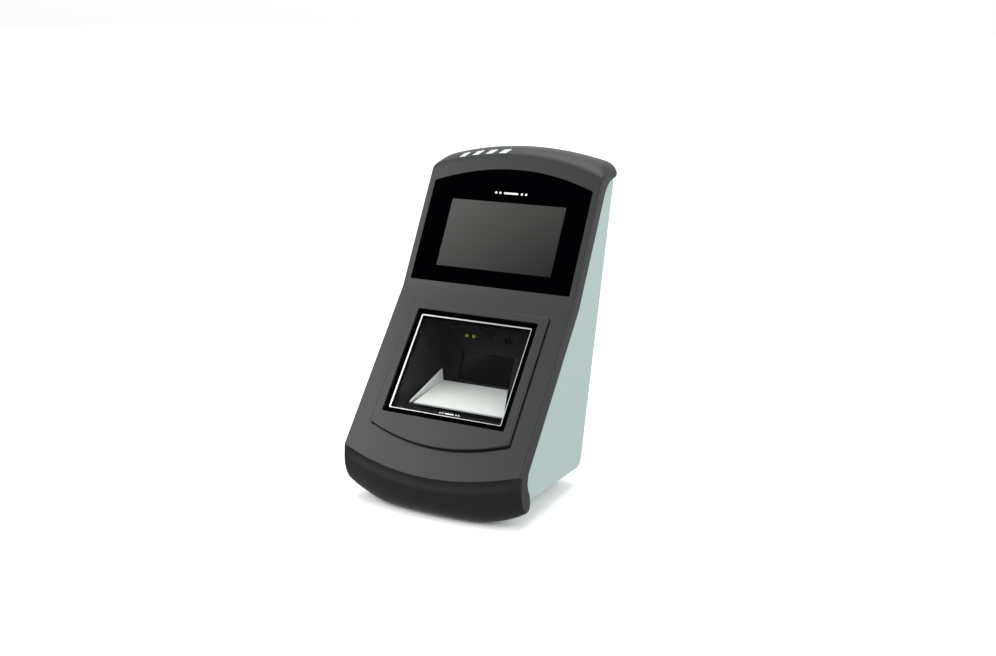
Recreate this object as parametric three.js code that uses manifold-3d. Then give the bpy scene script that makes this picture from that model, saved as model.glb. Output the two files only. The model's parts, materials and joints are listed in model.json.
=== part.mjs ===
// Desktop scanning terminal: a wedge-shaped reader with a 4.3 inch display above a scan window.
// Millimetres, +X to the terminal's right, +Y to its back, +Z up, standing on the plane z = 0.
//
// The front has two flat faces that meet at a shallow bend. Most sizes are given from that bend:
// a distance up the display face, a distance down the scan face, or a depth behind either face.

import * as THREE from 'three';
import { ConvexGeometry } from 'three/addons/geometries/ConvexGeometry.js';
import { mergeVertices } from 'three/addons/utils/BufferGeometryUtils.js';
import Module from 'manifold-3d';

// ---------------------------------------------------------------- driving dimensions

const DISPLAY_TILT = 60.3;        // display face, degrees from level
const SCAN_TILT = 49.7;           // scan face, degrees from level
const BACK_LEAN = 14.4;           // back wall, degrees from upright
const BASE_SLOPE = 4.1;           // underside of the housing, degrees, lower at the back
const BEND_HEIGHT = 141.5;        // bend line above the table
const BEND_SETBACK = 6.8;         // bend line behind the middle of the footprint

const COVER_HALF = 71.6;          // half width of the front cover
const HOUSING_HALF = 70.3;        // half width of the rear housing
const COVER_WALL = 2.7;
const HOUSING_WALL = 3.2;
const SKIRT_DEPTH = 9.3;          // depth of the cover's side walls
const SEAM = 0.6;                 // shadow gap between cover and housing
const EDGE_RADIUS = 1.8;          // cover's rounded side edges

const CROWN_RIDGE = 111.9;        // front ridge of the crown, up the display face, at the middle
const CROWN_RIDGE_RADIUS = 191;
const CROWN_TOP = { y: 70, z: 101.5 };
const CROWN_ARCH_RADIUS = 250;
const CROWN_NOSE = { y: 76.5, radius: 3.8 };          // the crown's round rear edge
const CROWN_END = { length: 10, drop: 5.5, draw: 6 }; // how the crown closes at its two ends

const TOE_RIDGE = 143.6;          // lower edge of the scan face, at the middle
const TOE_RIDGE_RADIUS = 192;
const TOE_BELLY = { forward: 0.9, down: 9 };          // foremost line of the toe, from its ridge
const TOE_ROLL = 13;              // how far the toe rolls back under its ridge
const TOE_BOTTOM = -140.9;
const TOE_LIFT = { from: 34, height: 12 };            // the toe's underside rises towards its ends
const HEEL = -73.5;               // where the toe's underside ends

const PANEL = { half: 65.7, low: 6.9, corner: 86.8, arc: 170, recess: 1.8, thick: 1.4 };
const SCREEN = { width: 95.04, height: 53.86, middle: 46.3 };
const PLATEAU = { half: 55.6, high: 12, corner: 110.4, arc: 142, rise: 2 };
const WINDOW = { half: 49.4, high: 17.5, low: 101.4 };
const GLASS = { thick: 3, below: 1.4, gap: 0.4, border: 3.6, line: 1.5 };

const HOOD = {
  wall: 1.6, rimHalf: 46.2, backHalf: 34.5, frontHalf: 43, rimTop: 20.8, rimLow: 98.2, rimDepth: 2.8
};
const HOOD_BACK = { top: [5, -26.5], middle: [5, -45], low: [-6.4, -71.2], front: [-50.6, -76.4] };
const REFLECTOR = { left: -32.4, rearRight: 22.5, frontRight: 41, length: 43.6, thick: 1.2 };
const REFLECTOR_PLACE = { y: -50.6, z: -73.3, slope: 5.9 };
const REFLECTOR_FLANGE = { lean: 3, height: 10.4, thick: 1 };

const BAY = { half: 46, high: -78, low: -107, depth: 12 };
const ROCKER_THROW = 20;          // degrees between off and on
const RESET_TRAVEL = 1.2;
const REAR_FOOT = { radius: 7, top: -126.6 };
const FRONT_FOOT = { width: 26, length: 4.4, top: -139.9 };
const FOOT_GAP = 0.3;
const REAR_FEET = [[-42, 8], [42, 8]];
const FRONT_FEET = [[-22, -76.7], [22, -76.7]];

// ---------------------------------------------------------------- directions and places

const rad = THREE.MathUtils.degToRad;
const displayUp = { y: Math.cos(rad(DISPLAY_TILT)), z: Math.sin(rad(DISPLAY_TILT)) };
const scanUp = { y: Math.cos(rad(SCAN_TILT)), z: Math.sin(rad(SCAN_TILT)) };

// A point of the side view: up the display face, or down the scan face, at a depth behind it.
function onDisplay(up, depth) {
  return [up * displayUp.y + depth * displayUp.z, up * displayUp.z - depth * displayUp.y];
}

function onScan(down, depth) {
  return [-down * scanUp.y + depth * scanUp.z, -down * scanUp.z - depth * scanUp.y];
}

// The two faces, both at the same depth, cross here.
function atBend(depth) {
  const half = rad((DISPLAY_TILT + SCAN_TILT) / 2);
  const reach = depth / Math.cos(rad((DISPLAY_TILT - SCAN_TILT) / 2));
  return [reach * Math.sin(half), -reach * Math.cos(half)];
}

const backLine = z => 75.3 - (80.6 - z) * Math.tan(rad(BACK_LEAN));
const baseLine = y => -122.2 - (y + 68) * Math.tan(rad(BASE_SLOPE));
const sag = (x, radius) => x * x / (2 * radius);

// How far a rounded side edge of the given radius has drawn in at x.
function roundOff(x, half, radius) {
  const past = Math.abs(x) - (half - radius);
  return past <= 0 ? 0 : radius - Math.sqrt(Math.max(0, radius * radius - past * past));
}

// ---------------------------------------------------------------- solids

const wasm = await Module();
wasm.setup();

function toSolid(geometry) {
  const bare = geometry.clone();
  bare.deleteAttribute('normal');
  bare.deleteAttribute('uv');
  const merged = mergeVertices(bare, 1e-5);
  return new wasm.Manifold(new wasm.Mesh({
    numProp: 3,
    vertProperties: new Float32Array(merged.attributes.position.array),
    triVerts: new Uint32Array(merged.index.array)
  }));
}

function toGeometry(solid) {
  const mesh = solid.getMesh();
  const geometry = new THREE.BufferGeometry();
  geometry.setAttribute('position', new THREE.BufferAttribute(new Float32Array(mesh.vertProperties), 3));
  geometry.setIndex(new THREE.BufferAttribute(new Uint32Array(mesh.triVerts), 1));
  geometry.computeVertexNormals();
  return geometry;
}

function combine(start, added, cut) {
  let solid = toSolid(start);
  for (const geometry of added) solid = solid.add(toSolid(geometry));
  for (const geometry of cut) solid = solid.subtract(toSolid(geometry));
  return toGeometry(solid);
}

// A closed solid whose section at each x is the outline that profile(x) returns as [y, z] points.
function loft(places, profile) {
  const stations = [...places].sort((a, b) => a - b);
  const rows = stations.map(x => profile(x).map(([y, z]) => new THREE.Vector2(y, z)));
  if (THREE.ShapeUtils.area(rows[0]) < 0) rows.forEach(row => row.reverse());
  const count = rows[0].length;
  const positions = rows.flatMap((row, i) => row.flatMap(point => [stations[i], point.x, point.y]));
  const index = [];
  for (let i = 0; i < rows.length - 1; i++) {
    for (let j = 0; j < count; j++) {
      const a = i * count + j;
      const b = i * count + (j + 1) % count;
      index.push(a, b, b + count, a, b + count, a + count);
    }
  }
  const closeEnd = (row, offset, facesRight) => {
    for (const [a, b, c] of THREE.ShapeUtils.triangulateShape(row, [])) {
      const turnsLeft = THREE.ShapeUtils.area([row[a], row[b], row[c]]) > 0;
      const [second, third] = turnsLeft === facesRight ? [b, c] : [c, b];
      index.push(offset + a, offset + second, offset + third);
    }
  };
  closeEnd(rows[0], 0, false);
  closeEnd(rows[rows.length - 1], (rows.length - 1) * count, true);
  const geometry = new THREE.BufferGeometry();
  geometry.setAttribute('position', new THREE.Float32BufferAttribute(positions, 3));
  geometry.setIndex(index);
  return geometry;
}

function block(width, depth, height, x = 0, y = 0, z = 0) {
  return new THREE.BoxGeometry(width, depth, height).translate(x, y, z);
}

// A disc or rod along Z, from z = low to z = high.
function rod(radius, low, high, sides = 24) {
  return new THREE.CylinderGeometry(radius, radius, high - low, sides)
    .rotateX(Math.PI / 2)
    .translate(0, 0, (low + high) / 2);
}

function extrude(shape, low, high, curveSegments = 8) {
  return new THREE.ExtrudeGeometry(shape, { depth: high - low, bevelEnabled: false, curveSegments })
    .translate(0, 0, low);
}

function roundedShape(left, right, low, high, radius) {
  const shape = new THREE.Shape();
  shape.moveTo(left + radius, low);
  shape.lineTo(right - radius, low);
  shape.absarc(right - radius, low + radius, radius, -Math.PI / 2, 0, false);
  shape.lineTo(right, high - radius);
  shape.absarc(right - radius, high - radius, radius, 0, Math.PI / 2, false);
  shape.lineTo(left + radius, high);
  shape.absarc(left + radius, high - radius, radius, Math.PI / 2, Math.PI, false);
  shape.lineTo(left, low + radius);
  shape.absarc(left + radius, low + radius, radius, Math.PI, Math.PI * 1.5, false);
  return shape;
}

function slab(width, height, radius, low, high, x = 0, y = 0) {
  const shape = roundedShape(x - width / 2, x + width / 2, y - height / 2, y + height / 2, radius);
  return extrude(shape, low, high, 4);
}

function withHoles(shape, holes) {
  holes.forEach(hole => shape.holes.push(hole));
  return shape;
}

// A rectangle whose side away from the bend is an arc, bulging by the sag of that arc.
function arcedShape(half, near, corner, radius, direction, grow = 0) {
  const steps = 16;
  const shape = new THREE.Shape();
  shape.moveTo(-half - grow, direction * (near - grow));
  shape.lineTo(half + grow, direction * (near - grow));
  for (let i = 0; i <= steps; i++) {
    const x = (half + grow) * (1 - 2 * i / steps);
    const bulge = sag(half, radius) - sag(Math.min(half, Math.abs(x)), radius);
    shape.lineTo(x, direction * (corner + grow + bulge));
  }
  return shape;
}

// ---------------------------------------------------------------- frames

// Each frame's x runs to the right. On the faces, y runs up the face and z stands out of it.
const frames = {
  bend: new THREE.Group(),
  display: new THREE.Group(),
  scan: new THREE.Group(),
  back: new THREE.Group(),
  base: new THREE.Group(),
  lamp: new THREE.Group(),
  imager: new THREE.Group()
};
const terminal = new THREE.Group();
frames.bend.position.set(0, BEND_SETBACK, BEND_HEIGHT);
frames.display.rotation.x = rad(DISPLAY_TILT);
frames.scan.rotation.x = rad(SCAN_TILT);
// On the back wall y points out of the wall and z runs up it, from the height of the bay's middle.
const bayMiddle = (BAY.high + BAY.low) / 2;
frames.back.rotation.x = -rad(BACK_LEAN);
frames.back.position.set(0, backLine(bayMiddle), bayMiddle);
// On the underside y runs to the back and z stands up, from the front edge of the housing.
frames.base.rotation.x = -rad(BASE_SLOPE);
frames.base.position.set(0, -68, baseLine(-68));
// On the hood's two back walls y runs up the wall and z stands out of it, into the hood.
const [hoodMiddleY, hoodMiddleZ] = HOOD_BACK.middle;
frames.lamp.rotation.x = Math.PI / 2;
frames.lamp.position.set(0, hoodMiddleY, hoodMiddleZ);
frames.imager.rotation.x = Math.atan2(hoodMiddleZ - HOOD_BACK.low[1], hoodMiddleY - HOOD_BACK.low[0]);
frames.imager.position.set(0, hoodMiddleY, hoodMiddleZ);
for (const name of ['display', 'scan', 'back', 'base', 'lamp', 'imager']) frames.bend.add(frames[name]);
terminal.add(frames.bend);

const materials = {
  charcoal: new THREE.MeshStandardMaterial({ color: 0x3d4143, roughness: 0.55, metalness: 0 }),
  paleGrey: new THREE.MeshStandardMaterial({ color: 0xb2c4c6, roughness: 0.5, metalness: 0 }),
  gloss: new THREE.MeshStandardMaterial({ color: 0x050506, roughness: 0.08, metalness: 0 }),
  screen: new THREE.MeshStandardMaterial({ color: 0x3c3b39, roughness: 0.3, metalness: 0 }),
  glass: new THREE.MeshStandardMaterial({
    color: 0xd8e0e0, roughness: 0.03, transparent: true, opacity: 0.3
  }),
  silver: new THREE.MeshStandardMaterial({ color: 0xd2d4d4, roughness: 0.2, metalness: 1 }),
  steel: new THREE.MeshStandardMaterial({ color: 0x9ea2a4, roughness: 0.35, metalness: 1 }),
  black: new THREE.MeshStandardMaterial({ color: 0x151618, roughness: 0.5, metalness: 0 }),
  rubber: new THREE.MeshStandardMaterial({ color: 0x1d1d1e, roughness: 0.85, metalness: 0 }),
  white: new THREE.MeshStandardMaterial({ color: 0xe6e8e4, roughness: 0.6, metalness: 0 }),
  lamp: new THREE.MeshStandardMaterial({ color: 0xd6d25a, roughness: 0.25, metalness: 0 }),
  board: new THREE.MeshStandardMaterial({ color: 0x1f5a3a, roughness: 0.5, metalness: 0 }),
  flex: new THREE.MeshStandardMaterial({ color: 0xb5702e, roughness: 0.5, metalness: 0 }),
  lens: new THREE.MeshStandardMaterial({ color: 0x11131a, roughness: 0.05, metalness: 0 })
};

function addPart(frame, name, geometry, material, position = [0, 0, 0], turn = [0, 0, 0]) {
  const mesh = new THREE.Mesh(geometry, materials[material]);
  mesh.name = name;
  mesh.position.set(...position);
  mesh.rotation.set(...turn.map(rad));
  frames[frame].add(mesh);
}

// A cutting or joining shape made in a face's own frame, moved to the bend's frame.
function fromFrame(frame, geometry) {
  frames[frame].updateMatrix();
  return geometry.applyMatrix4(frames[frame].matrix);
}

// ---------------------------------------------------------------- front cover

function mirrored(half) {
  return [...half.slice(1).reverse().map(x => -x), ...half];
}

const COVER_STATIONS = mirrored([0, 16, 30, 42, 52, 60, 65, 68, 69.8, 71, COVER_HALF]);

// How far the crown's rounded ends have closed at x, from 0 to 1.
function crownEnd(x) {
  const past = Math.max(0, Math.abs(x) - (COVER_HALF - CROWN_END.length)) / CROWN_END.length;
  return 1 - Math.sqrt(Math.max(0, 1 - past * past));
}

function crownTop(x) {
  return CROWN_TOP.z - sag(x, CROWN_ARCH_RADIUS) - CROWN_END.drop * crownEnd(x);
}

function crownRidge(x) {
  return CROWN_RIDGE - sag(x, CROWN_RIDGE_RADIUS);
}

// Underside of the crown, which rests over the top of the housing.
function crownUnderside(x, y) {
  return CROWN_TOP.z - sag(x, CROWN_ARCH_RADIUS) - 2 * CROWN_NOSE.radius + (y - CROWN_NOSE.y) * 0.16;
}

// The crown's front slope, from the ridge (t = 0) up to the flat of the top (t = 1).
function crownSlope(x, t) {
  const top = crownTop(x);
  const [ridgeY, ridgeZ] = onDisplay(crownRidge(x), roundOff(x, COVER_HALF, EDGE_RADIUS));
  const controlY = ridgeY + 0.42 * (CROWN_TOP.y - ridgeY);
  return [
    (1 - t) ** 2 * ridgeY + 2 * t * (1 - t) * controlY + t * t * CROWN_TOP.y,
    (1 - t) ** 2 * ridgeZ + (2 * t * (1 - t) + t * t) * top
  ];
}

function crownOutline(x) {
  const top = crownTop(x);
  const nose = CROWN_NOSE.y - CROWN_END.draw * crownEnd(x);
  const under = crownUnderside(x, nose);
  const points = [0, 0.2, 0.4, 0.6, 0.8, 1].map(t => crownSlope(x, t));
  for (const turn of [90, 54, 18, -18, -54, -90]) {
    points.push([
      nose + CROWN_NOSE.radius * Math.cos(rad(turn)),
      (top + under) / 2 + (top - under) / 2 * Math.sin(rad(turn))
    ]);
  }
  points.push([65.3, crownUnderside(x, 65.3)], [59, crownUnderside(x, 59)]);
  points.push([55.5, crownUnderside(x, 55.5) - 2.2]);
  return points;
}

function toeRidge(x) {
  return TOE_RIDGE - sag(x, TOE_RIDGE_RADIUS);
}

function toeBottom(x) {
  const past = Math.max(0, Math.abs(x) - TOE_LIFT.from) / (COVER_HALF - TOE_LIFT.from);
  return TOE_BOTTOM + TOE_LIFT.height * past * past;
}

// A soft groove runs under the toe ridge: [how far in, how far down, how far in at the ends].
const TOE_GROOVE = [[-0.2, 6.6, -0.8], [1.2, 4.2, -0.5], [1.5, 2.3, -0.3], [0.9, 0.9, -0.1]];
const TOE_GROOVE_END = { from: 62, length: 6 };

function toeGroove(x) {
  const past = (Math.abs(x) - TOE_GROOVE_END.from) / TOE_GROOVE_END.length;
  const fade = THREE.MathUtils.smoothstep(past, 0, 1);
  return TOE_GROOVE.map(([inwards, down, plain]) => [inwards + fade * (plain - inwards), -down]);
}

function toeOutline(x) {
  const inset = roundOff(x, COVER_HALF, EDGE_RADIUS);
  const [ridgeY, ridgeZ] = onScan(toeRidge(x), inset);
  const belly = [ridgeY - TOE_BELLY.forward, ridgeZ - TOE_BELLY.down];
  const under = [Math.min(HEEL - 1.5, ridgeY + TOE_ROLL), toeBottom(x) + 0.35 * inset];
  const roll = new THREE.CubicBezierCurve(
    new THREE.Vector2(...under), new THREE.Vector2((under[0] + belly[0]) / 2, under[1]),
    new THREE.Vector2(belly[0], belly[1] + 0.55 * (under[1] - belly[1])), new THREE.Vector2(...belly)
  );
  return [
    [HEEL, under[1]],
    ...[0, 0.2, 0.4, 0.6, 0.8, 1].map(t => roll.getPoint(t).toArray()),
    ...toeGroove(x).map(([y, z]) => [ridgeY + y, ridgeZ + z]),
    [ridgeY, ridgeZ], onScan(toeRidge(x) - 0.8, inset)
  ];
}

// Rear edge of the cover's lower side walls: it leaves the face's slope and flares into a foot.
function heelOutline(x) {
  const draw = 0.5 * roundOff(x, COVER_HALF, EDGE_RADIUS);
  const bottom = toeBottom(x);
  return [
    onScan(124, SKIRT_DEPTH), [-74.8, -107.9], [-73.6, -112.5], [-71, -118],
    [-69.6 - draw, bottom + 6.4], [-70 - draw, bottom + 3], [-72 - draw, bottom + 0.7]
  ];
}

function coverOutline(x) {
  const inset = roundOff(x, COVER_HALF, EDGE_RADIUS);
  return [
    ...heelOutline(x),
    ...toeOutline(x),
    atBend(inset),
    ...crownOutline(x),
    onDisplay(88, SKIRT_DEPTH),
    atBend(SKIRT_DEPTH)
  ];
}

// The space behind the two faces.
function faceHollow(x) {
  return [
    onScan(toeRidge(x) - 2.5, COVER_WALL), atBend(COVER_WALL), onDisplay(90, COVER_WALL),
    onDisplay(88, 6.4), onDisplay(84, 6.4), onDisplay(84, 24), atBend(24),
    onScan(122, 24), [-66, -119], [-78, -119], onScan(toeRidge(x) - 1, 8)
  ];
}

// The space inside the crown, joined to the space behind the display face.
function crownHollow(x) {
  const roof = CROWN_TOP.z - sag(x, CROWN_ARCH_RADIUS);
  const floor = y => crownUnderside(x, y) + COVER_WALL;
  return [
    onDisplay(80, COVER_WALL), onDisplay(crownRidge(x) - 4, COVER_WALL),
    [62, roof - 3.4], [72, roof - 2.6], [75.5, roof - 3.2], [75.5, roof - 4.4],
    [65.3, floor(65.3)], [57, floor(57)], onDisplay(88, 6.4), onDisplay(80, 6.4)
  ];
}

// The space inside the toe, joined to the space behind the scan face.
function toeHollow(x) {
  const [ridgeY, ridgeZ] = onScan(toeRidge(x), 0);
  const floor = toeBottom(x) + COVER_WALL;
  return [
    [-73.4, -118.5], [-73, floor + 3], [-75, floor], [-78, floor], [ridgeY + 6, ridgeZ - 22],
    [ridgeY + 2.6, ridgeZ - 11], [ridgeY + 4.6, ridgeZ - 5],
    onScan(toeRidge(x) - 4, 5.6), onScan(toeRidge(x) - 4, 14)
  ];
}

const INDICATORS = [-48, -36.5, -25, -13.5];
const INDICATOR = { length: 7, height: 6, slant: 3.4, along: 0.3, tilt: 24 };

function indicatorShape(grow) {
  const { length, height, slant } = INDICATOR;
  const shape = new THREE.Shape();
  shape.moveTo(-(length + slant) / 2 - grow, -height / 2 - grow);
  shape.lineTo((length - slant) / 2 + grow, -height / 2 - grow);
  shape.lineTo((length + slant) / 2 + grow, height / 2 + grow);
  shape.lineTo(-(length - slant) / 2 - grow, height / 2 + grow);
  return shape;
}

// One indicator's prism, standing square to the crown's front slope.
function indicatorPrism(x, grow, low, high) {
  const [y, z] = crownSlope(x, INDICATOR.along);
  return extrude(indicatorShape(grow), low, high)
    .rotateX(rad(INDICATOR.tilt))
    .rotateY(Math.asin(x / CROWN_RIDGE_RADIUS))
    .translate(x, y, z);
}

// A strip foot let into the toe's underside, enlarged all round by the gap when it cuts its own seat.
function frontFoot(gap, bottom) {
  const { width, length, top } = FRONT_FOOT;
  return slab(width + 2 * gap, length + 2 * gap, length / 2, bottom, top + gap);
}

function frontCover() {
  const shell = loft(COVER_STATIONS, coverOutline);
  const behindFaces = loft(mirrored([0, 16, 30, 42, 52, 60, COVER_HALF - COVER_WALL]), faceHollow);
  const crown = loft(mirrored([0, 16, 30, 42, 52, 60]), crownHollow);
  const toe = loft(mirrored([0, 20, 34, 42, 50, 58]), toeHollow);
  const plateau = extrude(
    arcedShape(PLATEAU.half, PLATEAU.high, PLATEAU.corner, PLATEAU.arc, -1), -0.6, PLATEAU.rise);
  const panelSeat = extrude(
    arcedShape(PANEL.half, PANEL.low, PANEL.corner, PANEL.arc, 1, 0.35), -PANEL.recess, 6);
  const screenHole = slab(110, 71, 2, -8, 2, 0, SCREEN.middle);
  const windowHole = slab(
    WINDOW.half * 2, WINDOW.low - WINDOW.high, 1.5, -12, 8, 0, -(WINDOW.low + WINDOW.high) / 2);
  const lights = INDICATORS.map(x => indicatorPrism(x, 0, -4.6, 4));
  const feet = FRONT_FEET.map(([x, y]) => frontFoot(FOOT_GAP, -BEND_HEIGHT).translate(x, y, 0));
  return combine(shell, [fromFrame('scan', plateau)], [
    behindFaces, crown, toe, fromFrame('display', panelSeat), fromFrame('display', screenHole),
    fromFrame('scan', windowHole), ...lights, ...feet
  ]);
}

addPart('bend', 'front_cover', frontCover(), 'charcoal');

// ---------------------------------------------------------------- rear housing

const CORNER_RADIUS = 8;          // rounded lower back edge
const CASE_SCREWS = [[-56, 22], [56, 22], [-56, 163], [56, 163]];
const BOARD = { width: 112, height: 96, middle: 92, thick: 1.6, stand: 8.5 };
const BOARD_SCREWS = [[-51, -43], [51, -43], [-51, 43], [51, 43]];
const BASE_COVER = { width: 100, length: 46, middle: 38, recess: 1.9 };
const VENT = { count: 7, width: 34, height: 2.2, lowest: 125, pitch: 5 };

// Lower back corner: an arc between the underside and the back wall, both moved in by the inset.
function lowerBackCorner(inset) {
  const points = [];
  const radius = CORNER_RADIUS - inset;
  const centreY = backLine(-128 + CORNER_RADIUS) - CORNER_RADIUS / Math.cos(rad(BACK_LEAN)) + 0.4;
  const centreZ = baseLine(centreY) + CORNER_RADIUS / Math.cos(rad(BASE_SLOPE));
  for (let i = 0; i <= 5; i++) {
    const angle = rad(-90 - BASE_SLOPE + (90 + BASE_SLOPE - BACK_LEAN) * i / 5);
    points.push([centreY + radius * Math.cos(angle), centreZ + radius * Math.sin(angle)]);
  }
  return points;
}

function housingTop(x, y) {
  return crownUnderside(x, y) - 0.5;
}

function housingOutline(x) {
  const inset = roundOff(x, HOUSING_HALF, 4);
  const depth = SKIRT_DEPTH + SEAM;
  const topY = 72.4 - inset;
  const topZ = housingTop(x, topY);
  return [
    onDisplay(87.4, depth), atBend(depth), onScan(123.6, depth), [-74.1, -108], [-72.9, -112.7],
    [-70.4, -118.2], [-69, baseLine(-69)],
    ...lowerBackCorner(0).map(([y, z]) => [y - inset, z + 0.3 * inset]),
    [backLine(topZ - 3) - inset, topZ - 3], [topY, topZ],
    [65.3, housingTop(x, 65.3)], [59.4, housingTop(x, 59.4)], [56.3, crownUnderside(x, 55.5) - 2.8]
  ];
}

// Thin tongue that stands inside the cover's side walls and hides the seam.
function tongueOutline() {
  return [
    onDisplay(80, 5), atBend(5), onScan(116, 5), [-71, -111], [-62, -111], onScan(106, 16),
    atBend(16), onDisplay(80, 16)
  ];
}

function housingHollow(x) {
  const wall = HOUSING_WALL;
  const roof = y => housingTop(x, y) - wall;
  return [
    onDisplay(82, 3), atBend(3), onScan(119, 3), [-76, -116], [-67, baseLine(-67) + wall],
    ...lowerBackCorner(wall), [backLine(roof(71)) - wall / Math.cos(rad(BACK_LEAN)), roof(71)],
    [65, roof(65)], [60.5, roof(60.5) - 1], onDisplay(85, 15)
  ];
}

// Rods along the back frame's y axis, at [x, z] places.
function backRod(radius, low, high, x, z, sides = 20) {
  return rod(radius, low, high, sides).rotateX(-Math.PI / 2).translate(x, 0, z);
}

function backBlock(width, low, high, height, x = 0, z = 0) {
  return block(width, high - low, height, x, (low + high) / 2, z);
}

function rearHousing() {
  const bayHeight = BAY.high - BAY.low;
  const shell = loft(mirrored([0, 20, 38, 52, 62, 66.3, 68.3, 69.7, HOUSING_HALF]), housingOutline);
  const inside = HOUSING_HALF - HOUSING_WALL;
  const hollow = loft(mirrored([0, 20, 38, 52, inside]), housingHollow);
  const tongues = [-1, 1].map(side => loft([side * (inside - 0.8), side * (inside + 0.9)], tongueOutline));
  const bayWalls = backBlock(BAY.half * 2 + 4, -BAY.depth - 2, -1.5, bayHeight + 4);
  const bayCut = backBlock(BAY.half * 2, -BAY.depth, 6, bayHeight);
  const bayWindow = backBlock(BAY.half * 2 - 8, -BAY.depth - 4, 0, bayHeight - 6);
  const bosses = BOARD_SCREWS.map(([x, z]) => backRod(4, -BOARD.stand, -1.5, x, BOARD.middle + z));
  const bossHoles = BOARD_SCREWS.map(
    ([x, z]) => backRod(1.6, -BOARD.stand - 1, -2.4, x, BOARD.middle + z, 12));
  const posts = CASE_SCREWS.map(([x, z]) => backRod(5, -14, -1.5, x, z));
  const screwHoles = CASE_SCREWS.flatMap(
    ([x, z]) => [backRod(3.6, -3, 3, x, z), backRod(1.9, -16, 0, x, z, 12)]);
  const vents = [];
  for (let i = 0; i < VENT.count; i++) {
    vents.push(backBlock(VENT.width, -6, 3, VENT.height, 0, VENT.lowest + i * VENT.pitch));
  }
  const { width: baseWidth, length: baseLength, recess, middle } = BASE_COVER;
  const baseRecess = slab(baseWidth + 0.8, baseLength + 0.8, 5, -4, recess, 0, middle);
  const baseHole = slab(baseWidth - 10, baseLength - 10, 3, -4, 6, 0, middle);
  const feet = REAR_FEET.map(([x, y]) =>
    rod(REAR_FOOT.radius + FOOT_GAP, -BEND_HEIGHT, REAR_FOOT.top + FOOT_GAP).translate(x, y, 0));
  const body = combine(combine(shell, tongues, [hollow]), [
    fromFrame('back', bayWalls), ...[...bosses, ...posts].map(boss => fromFrame('back', boss))
  ], []);
  return combine(body, [], [
    ...[bayCut, bayWindow, ...bossHoles, ...screwHoles, ...vents].map(cut => fromFrame('back', cut)),
    fromFrame('base', baseRecess), fromFrame('base', baseHole), ...feet
  ]);
}

addPart('bend', 'rear_housing', rearHousing(), 'paleGrey');
addPart('base', 'base_cover', combine(
  slab(BASE_COVER.width, BASE_COVER.length, 4.6, 0.1, BASE_COVER.recess - 0.3), [],
  [-1, 1].map(side => rod(2, -1, 4, 12).translate(side * (BASE_COVER.width / 2 - 5.5), 0, 0))
), 'paleGrey', [0, BASE_COVER.middle, 0]);

REAR_FEET.forEach(([x, y], i) => {
  const foot = rod(REAR_FOOT.radius, -BEND_HEIGHT, REAR_FOOT.top);
  addPart('bend', `rear_foot_${i + 1}`, foot, 'rubber', [x, y, 0]);
});
FRONT_FEET.forEach(([x, y], i) => {
  addPart('bend', `front_foot_${i + 1}`, frontFoot(0, -BEND_HEIGHT), 'rubber', [x, y, 0]);
});

// A pan-head screw along y, head outermost, the cross recess left to the surface finish.
function screw(headRadius, headHeight, shankRadius, length) {
  const profile = [
    [0, -length], [shankRadius, -length], [shankRadius, -headHeight], [headRadius, -headHeight],
    [headRadius, -0.5], [headRadius - 0.5, 0], [0, 0]
  ].map(([r, y]) => new THREE.Vector2(r, y));
  return new THREE.LatheGeometry(profile, 16);
}

CASE_SCREWS.forEach(([x, z], i) => {
  addPart('back', `case_screw_${i + 1}`, screw(3.1, 2, 1.5, 11), 'steel', [x, -0.6, z]);
});

// ---------------------------------------------------------------- display

addPart('display', 'display_panel', extrude(
  arcedShape(PANEL.half, PANEL.low, PANEL.corner, PANEL.arc, 1, -0.05), -0.3 - PANEL.thick, -0.3
), 'gloss');
addPart('display', 'lcd_module', slab(105.5, 67.2, 1.5, -5.2, -2.1), 'screen', [0, SCREEN.middle, 0]);
addPart('display', 'lcd_bracket', combine(
  slab(109, 70.4, 2, -9.4, -5.5), [], [slab(106.4, 68, 1.5, -8.4, -5), slab(84, 46, 6, -12, -6)]
), 'steel', [0, SCREEN.middle, 0]);

// ---------------------------------------------------------------- scan window

const windowMiddle = -(WINDOW.low + WINDOW.high) / 2;
const windowWidth = WINDOW.half * 2 - 2 * GLASS.gap;
const windowHeight = WINDOW.low - WINDOW.high - 2 * GLASS.gap;
const glassTop = PLATEAU.rise - GLASS.below;
const glassUnder = glassTop - GLASS.thick;

function frameShape(width, height, border, radius) {
  const outer = roundedShape(-width / 2, width / 2, -height / 2, height / 2, radius);
  const innerX = width / 2 - border;
  const innerY = height / 2 - border;
  return withHoles(outer, [roundedShape(-innerX, innerX, -innerY, innerY, 0.6)]);
}

const lineWidth = windowWidth - 2 * GLASS.border;
const lineHeight = windowHeight - 2 * GLASS.border;
const groove = extrude(
  frameShape(lineWidth + 0.4, lineHeight + 0.4, GLASS.line + 0.4, 1.2), glassTop - 0.7, glassTop + 1, 4
);
addPart('scan', 'scan_glass', combine(
  slab(windowWidth, windowHeight, 1.4, glassUnder, glassTop), [], [groove]
), 'glass', [0, windowMiddle, 0]);
addPart('scan', 'glass_trim', extrude(
  frameShape(lineWidth, lineHeight, GLASS.line, 1), glassTop - 0.4, glassTop + 0.2, 4
), 'silver', [0, windowMiddle, 0]);
addPart('scan', 'glass_gasket', extrude(
  frameShape(windowWidth, windowHeight, 2.8, 1.4), glassUnder - 0.6, glassUnder - 0.1, 4
), 'rubber', [0, windowMiddle, 0]);

// ---------------------------------------------------------------- scan hood

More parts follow.
